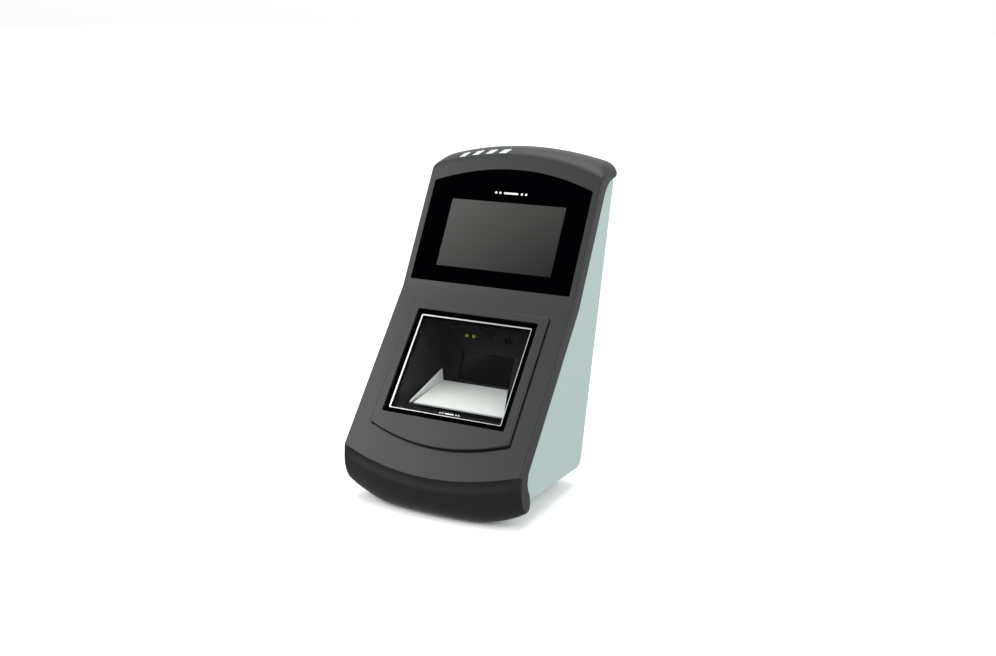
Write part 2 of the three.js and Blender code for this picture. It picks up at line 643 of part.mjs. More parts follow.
// The hood's corner points at a given wall thickness: a wide rim behind the glass, a narrow back.
function hoodPoints(grow, rimDepth) {
  const { top, middle, low, front } = HOOD_BACK;
  const points = [];
  for (const side of [-1, 1]) {
    for (const down of [HOOD.rimTop - grow, HOOD.rimLow + grow]) {
      const [y, z] = onScan(down, rimDepth);
      points.push(new THREE.Vector3(side * (HOOD.rimHalf + grow), y, z));
    }
    const x = side * (HOOD.backHalf + grow);
    points.push(new THREE.Vector3(x, top[0] + grow, top[1] + grow));
    points.push(new THREE.Vector3(x, middle[0] + grow, middle[1]));
    points.push(new THREE.Vector3(x, low[0] + grow, low[1] - grow));
    points.push(new THREE.Vector3(side * (HOOD.frontHalf + grow), front[0], front[1] - grow));
  }
  return points;
}

const LAMPS = [-18.5, -12.7];
const LAMP_UP = 10.8;
const RANGE_LENS = { x: 16.4, up: 11, radius: 3 };
const BEEPER = { x: 0.5, up: 14, radius: 4.3 };
const IMAGER_WINDOW = { width: 44, height: 22.6, down: 12.6 };

function scanHood() {
  const outer = new ConvexGeometry(hoodPoints(HOOD.wall, HOOD.rimDepth + 0.4));
  const inner = new ConvexGeometry(hoodPoints(0, HOOD.rimDepth - 0.8));
  const flange = extrude(withHoles(
    roundedShape(-WINDOW.half - 4, WINDOW.half + 4, -windowHeight / 2 - 4, windowHeight / 2 + 4, 1.4),
    [roundedShape(-HOOD.rimHalf, HOOD.rimHalf, -windowHeight / 2 + 2.9, windowHeight / 2 - 2.9, 0.5)]
  ), -HOOD.rimDepth - 1.6, -HOOD.rimDepth - 0.4, 4).translate(0, windowMiddle, 0);
  const holes = [
    ...LAMPS.map(x => fromFrame('lamp', rod(2, -6, 6, 16).translate(x, LAMP_UP, 0))),
    fromFrame('lamp', rod(RANGE_LENS.radius + 0.4, -6, 6, 20).translate(RANGE_LENS.x, RANGE_LENS.up, 0)),
    fromFrame('lamp', rod(BEEPER.radius + 0.3, -6, 6, 24).translate(BEEPER.x, BEEPER.up, 0)),
    fromFrame('imager', slab(IMAGER_WINDOW.width, IMAGER_WINDOW.height, 1, -6, 6, 0, -IMAGER_WINDOW.down))
  ];
  return combine(outer, [fromFrame('scan', flange)], [inner, ...holes]);
}

addPart('bend', 'scan_hood', scanHood(), 'black');

// A plate on the hood's floor, with a leaning flange along its left edge.
function floorReflector() {
  const { left, rearRight, frontRight, length, thick } = REFLECTOR;
  const shape = new THREE.Shape();
  shape.moveTo(left, 0);
  shape.lineTo(frontRight, 0);
  shape.lineTo(rearRight, length);
  shape.lineTo(left, length);
  const { lean, height } = REFLECTOR_FLANGE;
  const corners = [];
  for (const x of [left - REFLECTOR_FLANGE.thick + 0.2, left + 0.2]) {
    corners.push(new THREE.Vector3(x - lean, 0.5, 0), new THREE.Vector3(x - lean, 0.5, thick));
    corners.push(new THREE.Vector3(x, length, 0), new THREE.Vector3(x, length, height));
  }
  return combine(extrude(shape, 0, thick), [new ConvexGeometry(corners)], []);
}

addPart('bend', 'floor_reflector', floorReflector(), 'white',
  [0, REFLECTOR_PLACE.y, REFLECTOR_PLACE.z], [REFLECTOR_PLACE.slope, 0, 0]);

// ---------------------------------------------------------------- lamps, sensor and beeper

// A lamp's round body with a domed end.
function lampBody() {
  const radius = 1.5;
  const profile = [new THREE.Vector2(0, -8.4), new THREE.Vector2(radius, -8.4)];
  for (let turn = 0; turn <= 90; turn += 18) {
    profile.push(new THREE.Vector2(radius * Math.cos(rad(turn)), -0.6 + radius * Math.sin(rad(turn))));
  }
  return new THREE.LatheGeometry(profile, 16).rotateX(Math.PI / 2);
}

function beeperGrille() {
  const slots = [-2.4, -0.8, 0.8, 2.4].map(y => block(Math.abs(y) > 2 ? 4 : 6, 0.7, 4, 0, y, 0));
  return combine(rod(BEEPER.radius, -1.4, -0.2), [], slots);
}

LAMPS.forEach((x, i) => addPart('lamp', `scan_lamp_${i + 1}`, lampBody(), 'lamp', [x, LAMP_UP, 0]));
addPart('lamp', 'range_lens', rod(RANGE_LENS.radius, -8.4, -0.3, 20), 'lens',
  [RANGE_LENS.x, RANGE_LENS.up, 0]);
addPart('lamp', 'beeper_grille', beeperGrille(), 'black', [BEEPER.x, BEEPER.up, 0]);
addPart('lamp', 'beeper', rod(5.8, -8.4, -2.4), 'black', [BEEPER.x, BEEPER.up, 0]);
addPart('lamp', 'lamp_board', block(50, 17, 1.2, -1, 11, -9.4), 'board');

// ---------------------------------------------------------------- imager

const imagerPlace = [0, -IMAGER_WINDOW.down, 0];
addPart('imager', 'imager_window', slab(
  IMAGER_WINDOW.width - 0.7, IMAGER_WINDOW.height - 0.7, 0.8, -1.4, -0.2
), 'lens', imagerPlace);
addPart('imager', 'imager_body', combine(
  block(34, 19, 15, 0, 0, -14.3), [], [rod(6.1, -12, 0)]
), 'black', imagerPlace);
addPart('imager', 'imager_lens', combine(
  rod(5.7, -11.6, -3), [], [rod(4.3, -4, -2)]
), 'lens', imagerPlace);
addPart('imager', 'imager_board', block(40, 21, 1.6, 0, 0, -23), 'board', imagerPlace);

// ---------------------------------------------------------------- main board

const boardFront = -BOARD.stand - BOARD.thick;

// A piece standing on the main board's front, at x and a height above the board's middle.
function onBoard(name, material, width, height, thick, x, up, extra = 0) {
  addPart('back', name, backBlock(width, -thick, 0, height), material,
    [x, boardFront - 0.2 - extra, BOARD.middle + up]);
}

function mainBoard() {
  const holes = BOARD_SCREWS.map(([x, z]) => backRod(1.7, -20, 0, x, z, 12));
  return combine(backBlock(BOARD.width, boardFront, -BOARD.stand - 0.3, BOARD.height), [], holes);
}

addPart('back', 'main_board', mainBoard(), 'board', [0, 0, BOARD.middle]);
BOARD_SCREWS.forEach(([x, z], i) => {
  addPart('back', `board_screw_${i + 1}`, screw(2.7, 1.8, 1.2, 8), 'steel',
    [x, boardFront - 2.1, BOARD.middle + z], [180, 0, 0]);
});

const CHIP = { size: 15, thick: 1.6 };
onBoard('processor', 'black', CHIP.size, CHIP.size, CHIP.thick, -8, 6);
onBoard('memory_chip', 'black', 12, 9, 1.1, 14, 8);
onBoard('radio_shield', 'steel', 22, 18, 2.6, 34, -22);
onBoard('storage_chip', 'black', 11.5, 13, 1, 14, -9);

function heatSink() {
  const fins = [-9, -4.5, 0, 4.5, 9].map(x => backBlock(1.4, -8, -1, 22, x, 0));
  return combine(backBlock(22, -1.6, 0, 22), fins, []);
}

addPart('back', 'heat_sink', heatSink(), 'black',
  [-8, boardFront - 0.4 - CHIP.thick, BOARD.middle + 6]);
addPart('back', 'coin_cell', backRod(10, -3.2, 0, 0, 0, 28), 'steel',
  [-34, boardFront - 0.2, BOARD.middle - 24]);

// A flat cable: a path of [y, z] points with a thickness, as wide as low to high in x.
function flatCable(path, low, high, thick) {
  const far = path.map(([y, z], i) => {
    const [y0, z0] = path[Math.max(0, i - 1)];
    const [y1, z1] = path[Math.min(path.length - 1, i + 1)];
    const length = Math.hypot(y1 - y0, z1 - z0);
    return [y + thick * (z1 - z0) / length, z - thick * (y1 - y0) / length];
  });
  const outline = [...path, ...far.reverse()];
  return loft([low, high], () => outline);
}

const lcdCablePath = [onDisplay(30, 9.8), [27, 18.5], [32, 13.5], [39, 10.5], [45.2, 10]];
const imagerCablePath = [[25.8, -61.5], [28.6, -60.5], [30.6, -56.5], [31, -51], [31.4, -46.5]];
addPart('bend', 'lcd_cable', flatCable(lcdCablePath, 12, 34, 0.4), 'flex');
addPart('bend', 'imager_cable', flatCable(imagerCablePath, -10, 8, 0.4), 'flex');

// ---------------------------------------------------------------- status lights

INDICATORS.forEach((x, i) => {
  addPart('bend', `status_light_${i + 1}`, indicatorPrism(x, -0.3, -3.8, -0.25), 'lamp');
});

// A narrow board bent to follow the crown, just under the lights.
function statusBoard() {
  const along = { y: Math.cos(rad(INDICATOR.tilt)), z: Math.sin(rad(INDICATOR.tilt)) };
  return loft([-52.6, -48, -42, -30, -18, -8], x => {
    const [y, z] = crownSlope(x, INDICATOR.along);
    return [[-2.2, 4.3], [2.2, 4.3], [2.2, 4.9], [-2.2, 4.9]].map(([up, depth]) => [
      y + up * along.y + depth * along.z, z + up * along.z - depth * along.y
    ]);
  });
}

addPart('bend', 'status_board', statusBoard(), 'board');

// ---------------------------------------------------------------- connector bay

const PLATE = { low: -11.8, high: -10.6 };
const DECK = { low: -12, high: -10.5, front: -40, back: -14.4 };
const SOCKETS = {
  ethernet_jack: { x: 12, width: 16, height: 13.4, depth: 21, mouth: [12, 10.5, 14] },
  usb_jack: { x: -9, width: 12, height: 11, depth: 16, mouth: [8.4, 7.8, 9] },
  power_inlet: { x: 33, width: 9.4, height: 11, depth: 14, mouth: null }
};
const RESET = { x: -22, z: -5.5, radius: 1.8 };
const ROCKER = { x: -35, width: 8.6, half: 7.4, pivot: -11.6, rest: -10 };
const SWITCH = { width: 13, half: 10.2, front: -9.4, back: -27 };

function socket({ width, height, depth, mouth }) {
  const low = PLATE.high - depth;
  const bottom = DECK.high + 0.3;
  const middle = bottom + height / 2;
  const shell = backBlock(width, low, PLATE.high + 0.6, height, 0, middle);
  if (mouth === null) {
    const well = backRod(3.2, PLATE.high - 10, 0, 0, middle);
    const pin = backRod(1, PLATE.high - 11, PLATE.high - 1, 0, middle, 12);
    return combine(combine(shell, [], [well]), [pin], []);
  }
  const [mouthWidth, mouthHeight, mouthDepth] = mouth;
  return combine(shell, [], [backBlock(mouthWidth, PLATE.high - mouthDepth, 0, mouthHeight, 0, middle)]);
}

function portPlate() {
  const holes = Object.values(SOCKETS).map(({ x, width, height }) =>
    backBlock(width + 0.6, -20, 0, height + 0.6, x, DECK.high + 0.3 + height / 2));
  return combine(backBlock(BAY.half * 2 - 0.8, PLATE.low, PLATE.high, BAY.high - BAY.low - 0.8), [], [
    ...holes,
    backRod(RESET.radius + 0.35, -20, 0, RESET.x, RESET.z),
    backBlock(SWITCH.width + 0.6, -20, 0, SWITCH.half * 2 + 0.6, ROCKER.x)
  ]);
}

addPart('back', 'port_plate', portPlate(), 'black');
for (const [name, size] of Object.entries(SOCKETS)) {
  addPart('back', name, socket(size), name === 'power_inlet' ? 'black' : 'steel', [size.x, 0, 0]);
}
addPart('back', 'port_board', block(84, DECK.back - DECK.front, DECK.high - DECK.low),
  'board', [0, (DECK.back + DECK.front) / 2, (DECK.high + DECK.low) / 2]);

// ---------------------------------------------------------------- power switch and reset button

function switchBody() {
  const { width, half, front, back } = SWITCH;
  const pocket = backBlock(ROCKER.width + 0.8, ROCKER.pivot - 6, 0, ROCKER.half * 2 + 2.2);
  return combine(backBlock(width, back, front, half * 2), [], [pocket]);
}

// The rocker's two pads meet in a shallow valley in front of its pivot.
function rocker() {
  const { half, width } = ROCKER;
  const points = [[-3, -2.2], [0.6, -half], [3.4, -half], [1.9, 0], [3.4, half], [0.6, half], [-3, 2.2]];
  return loft([-width / 2, width / 2], () => points);
}

addPart('back', 'switch_body', switchBody(), 'black', [ROCKER.x, 0, 0]);
addPart('back', 'power_rocker', rocker(), 'black', [ROCKER.x, ROCKER.pivot, 0], [ROCKER.rest, 0, 0]);
addPart('back', 'reset_button', combine(
  backRod(RESET.radius, -17, -11, 0, 0), [backRod(RESET.radius + 0.9, -14, -12.5, 0, 0)], []
), 'black', [RESET.x, 0, RESET.z]);
addPart('back', 'reset_switch', backBlock(6.2, -22.5, -18.5, 8), 'black', [RESET.x, 0, -6.2]);

export default terminal;
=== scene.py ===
import json
import math

import bmesh
import bpy
from mathutils import Matrix, Vector

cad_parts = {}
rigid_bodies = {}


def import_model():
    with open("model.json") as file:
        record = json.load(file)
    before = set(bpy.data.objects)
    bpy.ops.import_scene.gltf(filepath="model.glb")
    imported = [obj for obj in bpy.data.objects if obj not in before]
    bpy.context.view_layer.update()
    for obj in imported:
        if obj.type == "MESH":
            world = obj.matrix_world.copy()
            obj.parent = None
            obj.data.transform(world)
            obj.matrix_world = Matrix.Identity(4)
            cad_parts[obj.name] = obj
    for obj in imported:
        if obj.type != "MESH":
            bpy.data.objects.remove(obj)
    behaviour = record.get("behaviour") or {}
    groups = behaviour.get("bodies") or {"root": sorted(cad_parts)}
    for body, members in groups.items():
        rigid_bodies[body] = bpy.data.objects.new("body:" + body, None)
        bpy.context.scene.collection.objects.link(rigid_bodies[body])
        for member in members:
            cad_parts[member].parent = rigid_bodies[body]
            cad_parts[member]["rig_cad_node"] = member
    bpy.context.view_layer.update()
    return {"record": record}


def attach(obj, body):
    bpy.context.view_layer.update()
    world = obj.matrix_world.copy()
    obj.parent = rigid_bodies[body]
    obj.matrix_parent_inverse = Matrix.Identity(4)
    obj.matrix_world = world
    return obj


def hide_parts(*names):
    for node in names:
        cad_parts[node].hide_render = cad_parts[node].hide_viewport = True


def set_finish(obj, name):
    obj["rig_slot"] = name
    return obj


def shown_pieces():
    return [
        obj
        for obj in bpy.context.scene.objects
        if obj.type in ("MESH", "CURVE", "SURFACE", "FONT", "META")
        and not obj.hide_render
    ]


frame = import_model()

# Shapes are worked out in millimetres from the bend, the line where the two front faces meet:
# x to the right as seen from the front, y to the back, z up. MM_TO_ROW carries them into the row frame,
# which is in metres.
BEND_SETBACK = 6.8
BEND_HEIGHT = 141.5
MM_TO_ROW = Matrix.Scale(0.001, 4) @ Matrix.Translation((0, BEND_SETBACK, BEND_HEIGHT))

# ------------------------------------------------------------ the part's own dimensions

DISPLAY_TILT = 60.3
SCAN_TILT = 49.7
BACK_LEAN = 14.4
BACK_TOP_Y = 75.3
BACK_TOP_Z = 80.6
BASE_SLOPE = 4.1
BASE_FRONT_Y = -68.0
BASE_FRONT_Z = -122.2
COVER_HALF = 71.6
HOUSING_HALF = 70.3
COVER_WALL = 2.7
HOUSING_WALL = 3.2
SKIRT_DEPTH = 9.3
SKIRT_TOP = 88.0
LIP_DEPTH = 6.4
HOLLOW_DEPTH = 24.0
SEAM = 0.6
EDGE_RADIUS = 1.8
CROWN_RIDGE = 111.9
CROWN_RIDGE_RADIUS = 191.0
CROWN_TOP_Y = 70.0
CROWN_TOP_Z = 101.5
CROWN_ARCH_RADIUS = 250.0
CROWN_NOSE_Y = 76.5
CROWN_NOSE_RADIUS = 3.8
CROWN_END_LENGTH = 10.0
CROWN_END_DROP = 5.5
CROWN_END_DRAW = 6.0
CROWN_UNDER_SLOPE = 0.16
CROWN_BULGE = 0.42
RIDGE_BLEND = 0.16
NECK_BACK_Y = 65.3
NECK_FRONT_Y = 57.0
RIDGE_FILLET = 2.6
TOE_RIDGE = 143.6
TOE_RIDGE_RADIUS = 192.0
TOE_FORWARD = 0.9
TOE_BELLY_DOWN = 9.0
GROOVE_PULL = 3.9
GROOVE_FADE_FROM = 62.0
GROOVE_FADE = 6.0
GROOVE_STEPS = (8.2, 7.3, 6.4, 5.6, 4.8, 4.0, 3.3, 2.7, 2.1, 1.6, 1.1, 0.7, 0.35)
TOE_ROLL = 13.0
TOE_BOTTOM = -140.9
TOE_LIFT_FROM = 34.0
TOE_LIFT = 12.0
HEEL = -73.5
BAY_HALF = 46.0
BAY_HIGH = -78.0
BAY_LOW = -107.0
BAY_DEPTH = 12.0
HOOD_MIDDLE = (5.0, -45.0)
HOOD_LOW = (-6.4, -71.2)
SHARP_ANGLE = 32.0


def cos(degrees):
    return math.cos(math.radians(degrees))


def sin(degrees):
    return math.sin(math.radians(degrees))


def tan(degrees):
    return math.tan(math.radians(degrees))


def on_display(up, depth):
    """A side-view point (y, z): up the display face, at a depth behind it."""
    across, along = sin(DISPLAY_TILT), cos(DISPLAY_TILT)
    return (up * along + depth * across, up * across - depth * along)


def on_scan(down, depth):
    """A side-view point (y, z): down the scan face, at a depth behind it."""
    across, along = sin(SCAN_TILT), cos(SCAN_TILT)
    return (-down * along + depth * across, -down * across - depth * along)


def at_bend(depth):
    """The side-view point at one depth behind both faces."""
    half = (DISPLAY_TILT + SCAN_TILT) / 2
    reach = depth / cos((DISPLAY_TILT - SCAN_TILT) / 2)
    return (reach * sin(half), -reach * cos(half))


def back_line(z):
    """The y of the back wall's outside at a height."""
    return BACK_TOP_Y - (BACK_TOP_Z - z) * tan(BACK_LEAN)


def base_line(y):
    """The z of the housing's underside at a y."""
    return BASE_FRONT_Z - (y - BASE_FRONT_Y) * tan(BASE_SLOPE)


def sag(x, radius):
    """How far an arc has dropped at x from its middle."""
    return x * x / (2 * radius)


def round_off(x, half, radius):
    """How far a rounded side edge has drawn in at x."""
    past = abs(x) - (half - radius)
    return 0.0 if past <= 0 else radius - math.sqrt(max(0.0, radius * radius - past * past))


def frame_at(tilt, y=0.0, z=0.0):
    """A frame at this y and z, turned about x by tilt degrees."""
    return Matrix.Translation((0, y, z)) @ Matrix.Rotation(math.radians(tilt), 4, "X")


BEND = Matrix.Identity(4)
DISPLAY = frame_at(DISPLAY_TILT)
SCAN = frame_at(SCAN_TILT)
BAY_MIDDLE = (BAY_HIGH + BAY_LOW) / 2
BACK = frame_at(-BACK_LEAN, back_line(BAY_MIDDLE), BAY_MIDDLE)
BASE = frame_at(-BASE_SLOPE, BASE_FRONT_Y, BASE_FRONT_Z)
LAMP_WALL = frame_at(90, *HOOD_MIDDLE)
IMAGER_WALL = frame_at(
    math.degrees(math.atan2(HOOD_MIDDLE[1] - HOOD_LOW[1], HOOD_MIDDLE[0] - HOOD_LOW[0])), *HOOD_MIDDLE,
)

# ------------------------------------------------------------ mesh helpers


def new_piece(name, bm, place=BEND):
    """Closes a bmesh made in millimetres into an object in the row frame."""
    bm.transform(MM_TO_ROW @ place)
    bmesh.ops.recalc_face_normals(bm, faces=bm.faces)
    mesh = bpy.data.meshes.new(name)
    bm.to_mesh(mesh)
    bm.free()
    piece = bpy.data.objects.new(name, mesh)
    bpy.context.scene.collection.objects.link(piece)
    return piece


def loft(name, stations, outline):
    """A closed solid whose section at each x is outline(x), a list of (y, z) points."""
    bm = bmesh.new()
    rings = [[bm.verts.new((x, y, z)) for y, z in outline(x)] for x in sorted(stations)]
    count = len(rings[0])
    for near, far in zip(rings, rings[1:]):
        for i in range(count):
            j = (i + 1) % count
            bm.faces.new((near[i], near[j], far[j], far[i]))
    bm.faces.new(rings[0][::-1])
    bm.faces.new(rings[-1])
    return new_piece(name, bm)


def inset(points, distance):
    """An anticlockwise outline drawn in by a distance."""
    count = len(points)
    result = []
    for i, (x, y) in enumerate(points):
        before = (Vector((x, y)) - Vector(points[i - 1])).normalized()
        after = (Vector(points[(i + 1) % count]) - Vector((x, y))).normalized()
        inward = Vector((-before.y - after.y, before.x + after.x))
        if inward.length < 1e-6:
            result.append((x, y))
            continue
        inward.normalize()
        reach = distance / max(0.3, inward.dot(Vector((-before.y, before.x))))
        result.append((x + inward.x * reach, y + inward.y * reach))
    return result


def anticlockwise(points):
    """An outline, turned round if it runs clockwise."""
    area = sum(a[0] * b[1] - b[0] * a[1] for a, b in zip(points, points[1:] + points[:1]))
    return points if area > 0 else points[::-1]


def prism(name, points, low, high, place=BEND, edge=0.0, steps=4):
    """An outline in x and y, raised from low to high; edge is the radius round the rim of its top."""
    outline = anticlockwise(points)
    levels = [(0.0, low), (0.0, high - edge)]
    for i in range(1, steps + 1):
        if edge > 0:
            turn = 90 * i / steps
            levels.append((edge * (1 - cos(turn)), high - edge + edge * sin(turn)))
    bm = bmesh.new()
    rings = [[bm.verts.new((x, y, z)) for x, y in inset(outline, draw)] for draw, z in levels]
    count = len(outline)
    for lower, upper in zip(rings, rings[1:]):
        for i in range(count):
            j = (i + 1) % count
            bm.faces.new((lower[i], lower[j], upper[j], upper[i]))
    bm.faces.new(rings[0][::-1])
    bm.faces.new(rings[-1])
    return new_piece(name, bm, place)


def ring_prism(name, outer, inner, low, high, place=BEND):
    """A flat frame between two outlines that have the same number of points."""
    bm = bmesh.new()
    rows = [[bm.verts.new((x, y, z)) for x, y in line] for z in (low, high) for line in (outer, inner)]
    outer_low, inner_low, outer_high, inner_high = rows
    count = len(outer)
    for i in range(count):
        j = (i + 1) % count
        bm.faces.new((outer_low[i], outer_low[j], outer_high[j], outer_high[i]))
        bm.faces.new((inner_low[j], inner_low[i], inner_high[i], inner_high[j]))
        bm.faces.new((outer_high[i], outer_high[j], inner_high[j], inner_high[i]))
        bm.faces.new((outer_low[j], outer_low[i], inner_low[i], inner_low[j]))
    return new_piece(name, bm, place)


def lathe(name, profile, place=BEND, sides=40):
    """A solid turned about z from (radius, z) points; the first and last lie on the axis."""
    bm = bmesh.new()
    rings = []
    for radius, z in profile[1:-1]:
        turns = [360 * i / sides for i in range(sides)]
        rings.append([bm.verts.new((radius * cos(turn), radius * sin(turn), z)) for turn in turns])
    for near, far in zip(rings, rings[1:]):
        for i in range(sides):
            j = (i + 1) % sides
            bm.faces.new((near[i], near[j], far[j], far[i]))
    start = bm.verts.new((0, 0, profile[0][1]))
    end = bm.verts.new((0, 0, profile[-1][1]))
    for i in range(sides):
        j = (i + 1) % sides
        bm.faces.new((rings[0][j], rings[0][i], start))
        bm.faces.new((rings[-1][i], rings[-1][j], end))
    return new_piece(name, bm, place)


def hull(name, points, place=BEND):
    """The smallest convex solid round some points."""
    bm = bmesh.new()
    for point in points:
        bm.verts.new(point)
    result = bmesh.ops.convex_hull(bm, input=bm.verts)
    bmesh.ops.delete(bm, geom=result["geom_interior"], context="VERTS")
    return new_piece(name, bm, place)


def rectangle(width, height, radius=0.0, x=0.0, y=0.0, steps=5):
    """Points of a rectangle with rounded corners, anticlockwise."""
    points = []
    turns = [90 * i / steps for i in range(steps + 1)] if radius > 0 else [0]
    for quarter, (sx, sy) in enumerate([(1, -1), (1, 1), (-1, 1), (-1, -1)]):
        for turn in turns:
            angle = -90 + 90 * quarter + turn
            points.append((
                x + sx * (width / 2 - radius) + radius * cos(angle),
                y + sy * (height / 2 - radius) + radius * sin(angle),
            ))
    return points


def arced(half, near, corner, radius, direction, grow=0.0, round_corner=0.0, steps=36):
    """A rectangle whose side away from the bend is an arc."""
    points = [(-half - grow, direction * (near - grow)), (half + grow, direction * (near - grow))]
    for i in range(steps + 1):
        x = (half + grow) * (1 - 2 * i / steps)
        bulge = sag(half, radius) - sag(min(half, abs(x)), radius)
        points.append((x, direction * (corner + grow + bulge)))
    return rounded(points, round_corner)


def rounded(points, radius, steps=5):
    """Rounds the sharp corners of an outline."""
    if radius <= 0:
        return points
    result = []
    count = len(points)
    for i, corner in enumerate(points):
        before = Vector(points[i - 1]) - Vector(corner)
        after = Vector(points[(i + 1) % count]) - Vector(corner)
        angle = before.angle(after)
        if angle > math.radians(150):
            result.append(corner)
            continue
        reach = radius / math.tan(angle / 2)
        start = Vector(corner) + before.normalized() * reach
        end = Vector(corner) + after.normalized() * reach
        for k in range(steps + 1):
            t = k / steps
            point = start * (1 - t) ** 2 + Vector(corner) * (2 * t * (1 - t)) + end * t ** 2
            result.append(tuple(point))
    return result


def bake(piece):
    """Turns a piece's modifiers into mesh."""
    depsgraph = bpy.context.evaluated_depsgraph_get()
    mesh = bpy.data.meshes.new_from_object(piece.evaluated_get(depsgraph))
    piece.modifiers.clear()
    old = piece.data
    piece.data = mesh
    bpy.data.meshes.remove(old)


def join(piece, others, operation="DIFFERENCE"):
    """Cuts the others out of a piece, or joins them to it, and removes them."""
    for other in others:
        modifier = piece.modifiers.new("join", "BOOLEAN")
        modifier.operation = operation
        modifier.solver = "EXACT"
        modifier.object = other
        bake(piece)
        bpy.data.objects.remove(other)


def soften(piece, width, segments=3):
    """Rounds a piece's sharp edges, in millimetres, and shades it smooth between the rest."""
    modifier = piece.modifiers.new("flats", "DECIMATE")
    modifier.decimate_type = "DISSOLVE"
    modifier.angle_limit = math.radians(0.4)
    bake(piece)
    modifier = piece.modifiers.new("edges", "BEVEL")
    modifier.width = width * 0.001
    modifier.segments = segments
    modifier.limit_method = "ANGLE"
    modifier.angle_limit = math.radians(SHARP_ANGLE)
    modifier.use_clamp_overlap = True
    modifier.miter_outer = "MITER_ARC"
    bake(piece)
    smooth(piece)
    modifier = piece.modifiers.new("normals", "WEIGHTED_NORMAL")
    modifier.keep_sharp = True
    bake(piece)


def smooth(piece):
    """Shades a piece smooth, apart from its sharp edges."""
    piece.data.polygons.foreach_set("use_smooth", [True] * len(piece.data.polygons))
    piece.data.set_sharp_from_angle(angle=math.radians(SHARP_ANGLE))


def stations(half, *radii):
    """Places across the width, close together where the rounded sides turn."""
    places = {0.0}
    flat = half - max(radii)
    count = int(flat / 3)
    for i in range(1, count + 1):
        places.add(flat * i / count)
    for radius in radii:
        for turn in range(9, 91, 9):
            places.add(round(half - radius + radius * sin(turn), 4))
    ordered = sorted(places)
    kept = [0.0]
    for place in ordered[1:]:
        if place - kept[-1] > 0.02:
            kept.append(place)
    kept[-1] = half
    return [-x for x in kept[:0:-1]] + kept


def show(piece, body, node, slot):
    """Makes a piece move with a body, stand for a CAD node and take a material slot."""
    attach(piece, body)
    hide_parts(node)
    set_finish(piece, slot)


# ------------------------------------------------------------ front cover


def between(start, corner, end, t):
    """A point of the curve that leaves start towards the corner and arrives at end from it."""
    return tuple((1 - t) ** 2 * p + 2 * t * (1 - t) * q + t * t * r for p, q, r in zip(start, corner, end))


def crown_end(x):
    """How far the crown's rounded ends have closed at x, from 0 to 1."""
    past = max(0.0, abs(x) - (COVER_HALF - CROWN_END_LENGTH)) / CROWN_END_LENGTH
    return 1 - math.sqrt(max(0.0, 1 - past * past))


def crown_top(x):
    """The height of the crown's top at x."""
    return CROWN_TOP_Z - sag(x, CROWN_ARCH_RADIUS) - CROWN_END_DROP * crown_end(x)


def crown_ridge(x):
    """How far up the display face the crown's ridge lies at x."""
    return CROWN_RIDGE - sag(x, CROWN_RIDGE_RADIUS)


def crown_underside(x, y):
    """The height of the crown's underside at x and y."""
    rise = (y - CROWN_NOSE_Y) * CROWN_UNDER_SLOPE
    return CROWN_TOP_Z - sag(x, CROWN_ARCH_RADIUS) - 2 * CROWN_NOSE_RADIUS + rise


def crown_slope(x, t):
    """The crown's front slope, from the ridge (t = 0) up to the flat of the top (t = 1)."""
    top = crown_top(x)
    ridge = on_display(crown_ridge(x), round_off(x, COVER_HALF, EDGE_RADIUS))
    return between(ridge, (ridge[0] + CROWN_BULGE * (CROWN_TOP_Y - ridge[0]), top), (CROWN_TOP_Y, top), t)


def crown_outline(x):
    """The crown's section at x, from its ridge over its nose and back under it to the skirt."""
    top = crown_top(x)
    nose = CROWN_NOSE_Y - CROWN_END_DRAW * crown_end(x)
    under = crown_underside(x, nose)
    start = on_display(crown_ridge(x) - RIDGE_FILLET, round_off(x, COVER_HALF, EDGE_RADIUS))
    points = [between(start, crown_slope(x, 0), crown_slope(x, RIDGE_BLEND), i / 7) for i in range(8)]
    points += [crown_slope(x, RIDGE_BLEND + (1 - RIDGE_BLEND) * i / 12) for i in range(1, 13)]
    for turn in range(90, -91, -15):
        points.append((
            nose + CROWN_NOSE_RADIUS * cos(turn),
            (top + under) / 2 + (top - under) / 2 * sin(turn),
        ))
    neck = [(y, crown_underside(x, y)) for y in (NECK_BACK_Y, NECK_FRONT_Y)]
    neck.append(on_display(SKIRT_TOP, SKIRT_DEPTH))
    points += [between(*neck, i / 8) for i in range(8)]
    return points


def toe_ridge(x):
    """How far down the scan face the toe's ridge lies at x."""
    return TOE_RIDGE - sag(x, TOE_RIDGE_RADIUS)


def toe_bottom(x):
    """The height of the toe's underside at x; it rises towards the ends."""
    past = max(0.0, abs(x) - TOE_LIFT_FROM) / (COVER_HALF - TOE_LIFT_FROM)
    return TOE_BOTTOM + TOE_LIFT * past * past


def toe_groove(x, down):
    """How far the soft groove under the toe ridge goes in; it fades out towards the ends."""
    fade = min(1.0, max(0.0, (abs(x) - GROOVE_FADE_FROM) / GROOVE_FADE))
    fade = fade * fade * (3 - 2 * fade)
    part = min(1.0, down / TOE_BELLY_DOWN)
    return (1 - fade) * GROOVE_PULL * part ** 0.7 * (1 - part) ** 1.6 - TOE_FORWARD * part


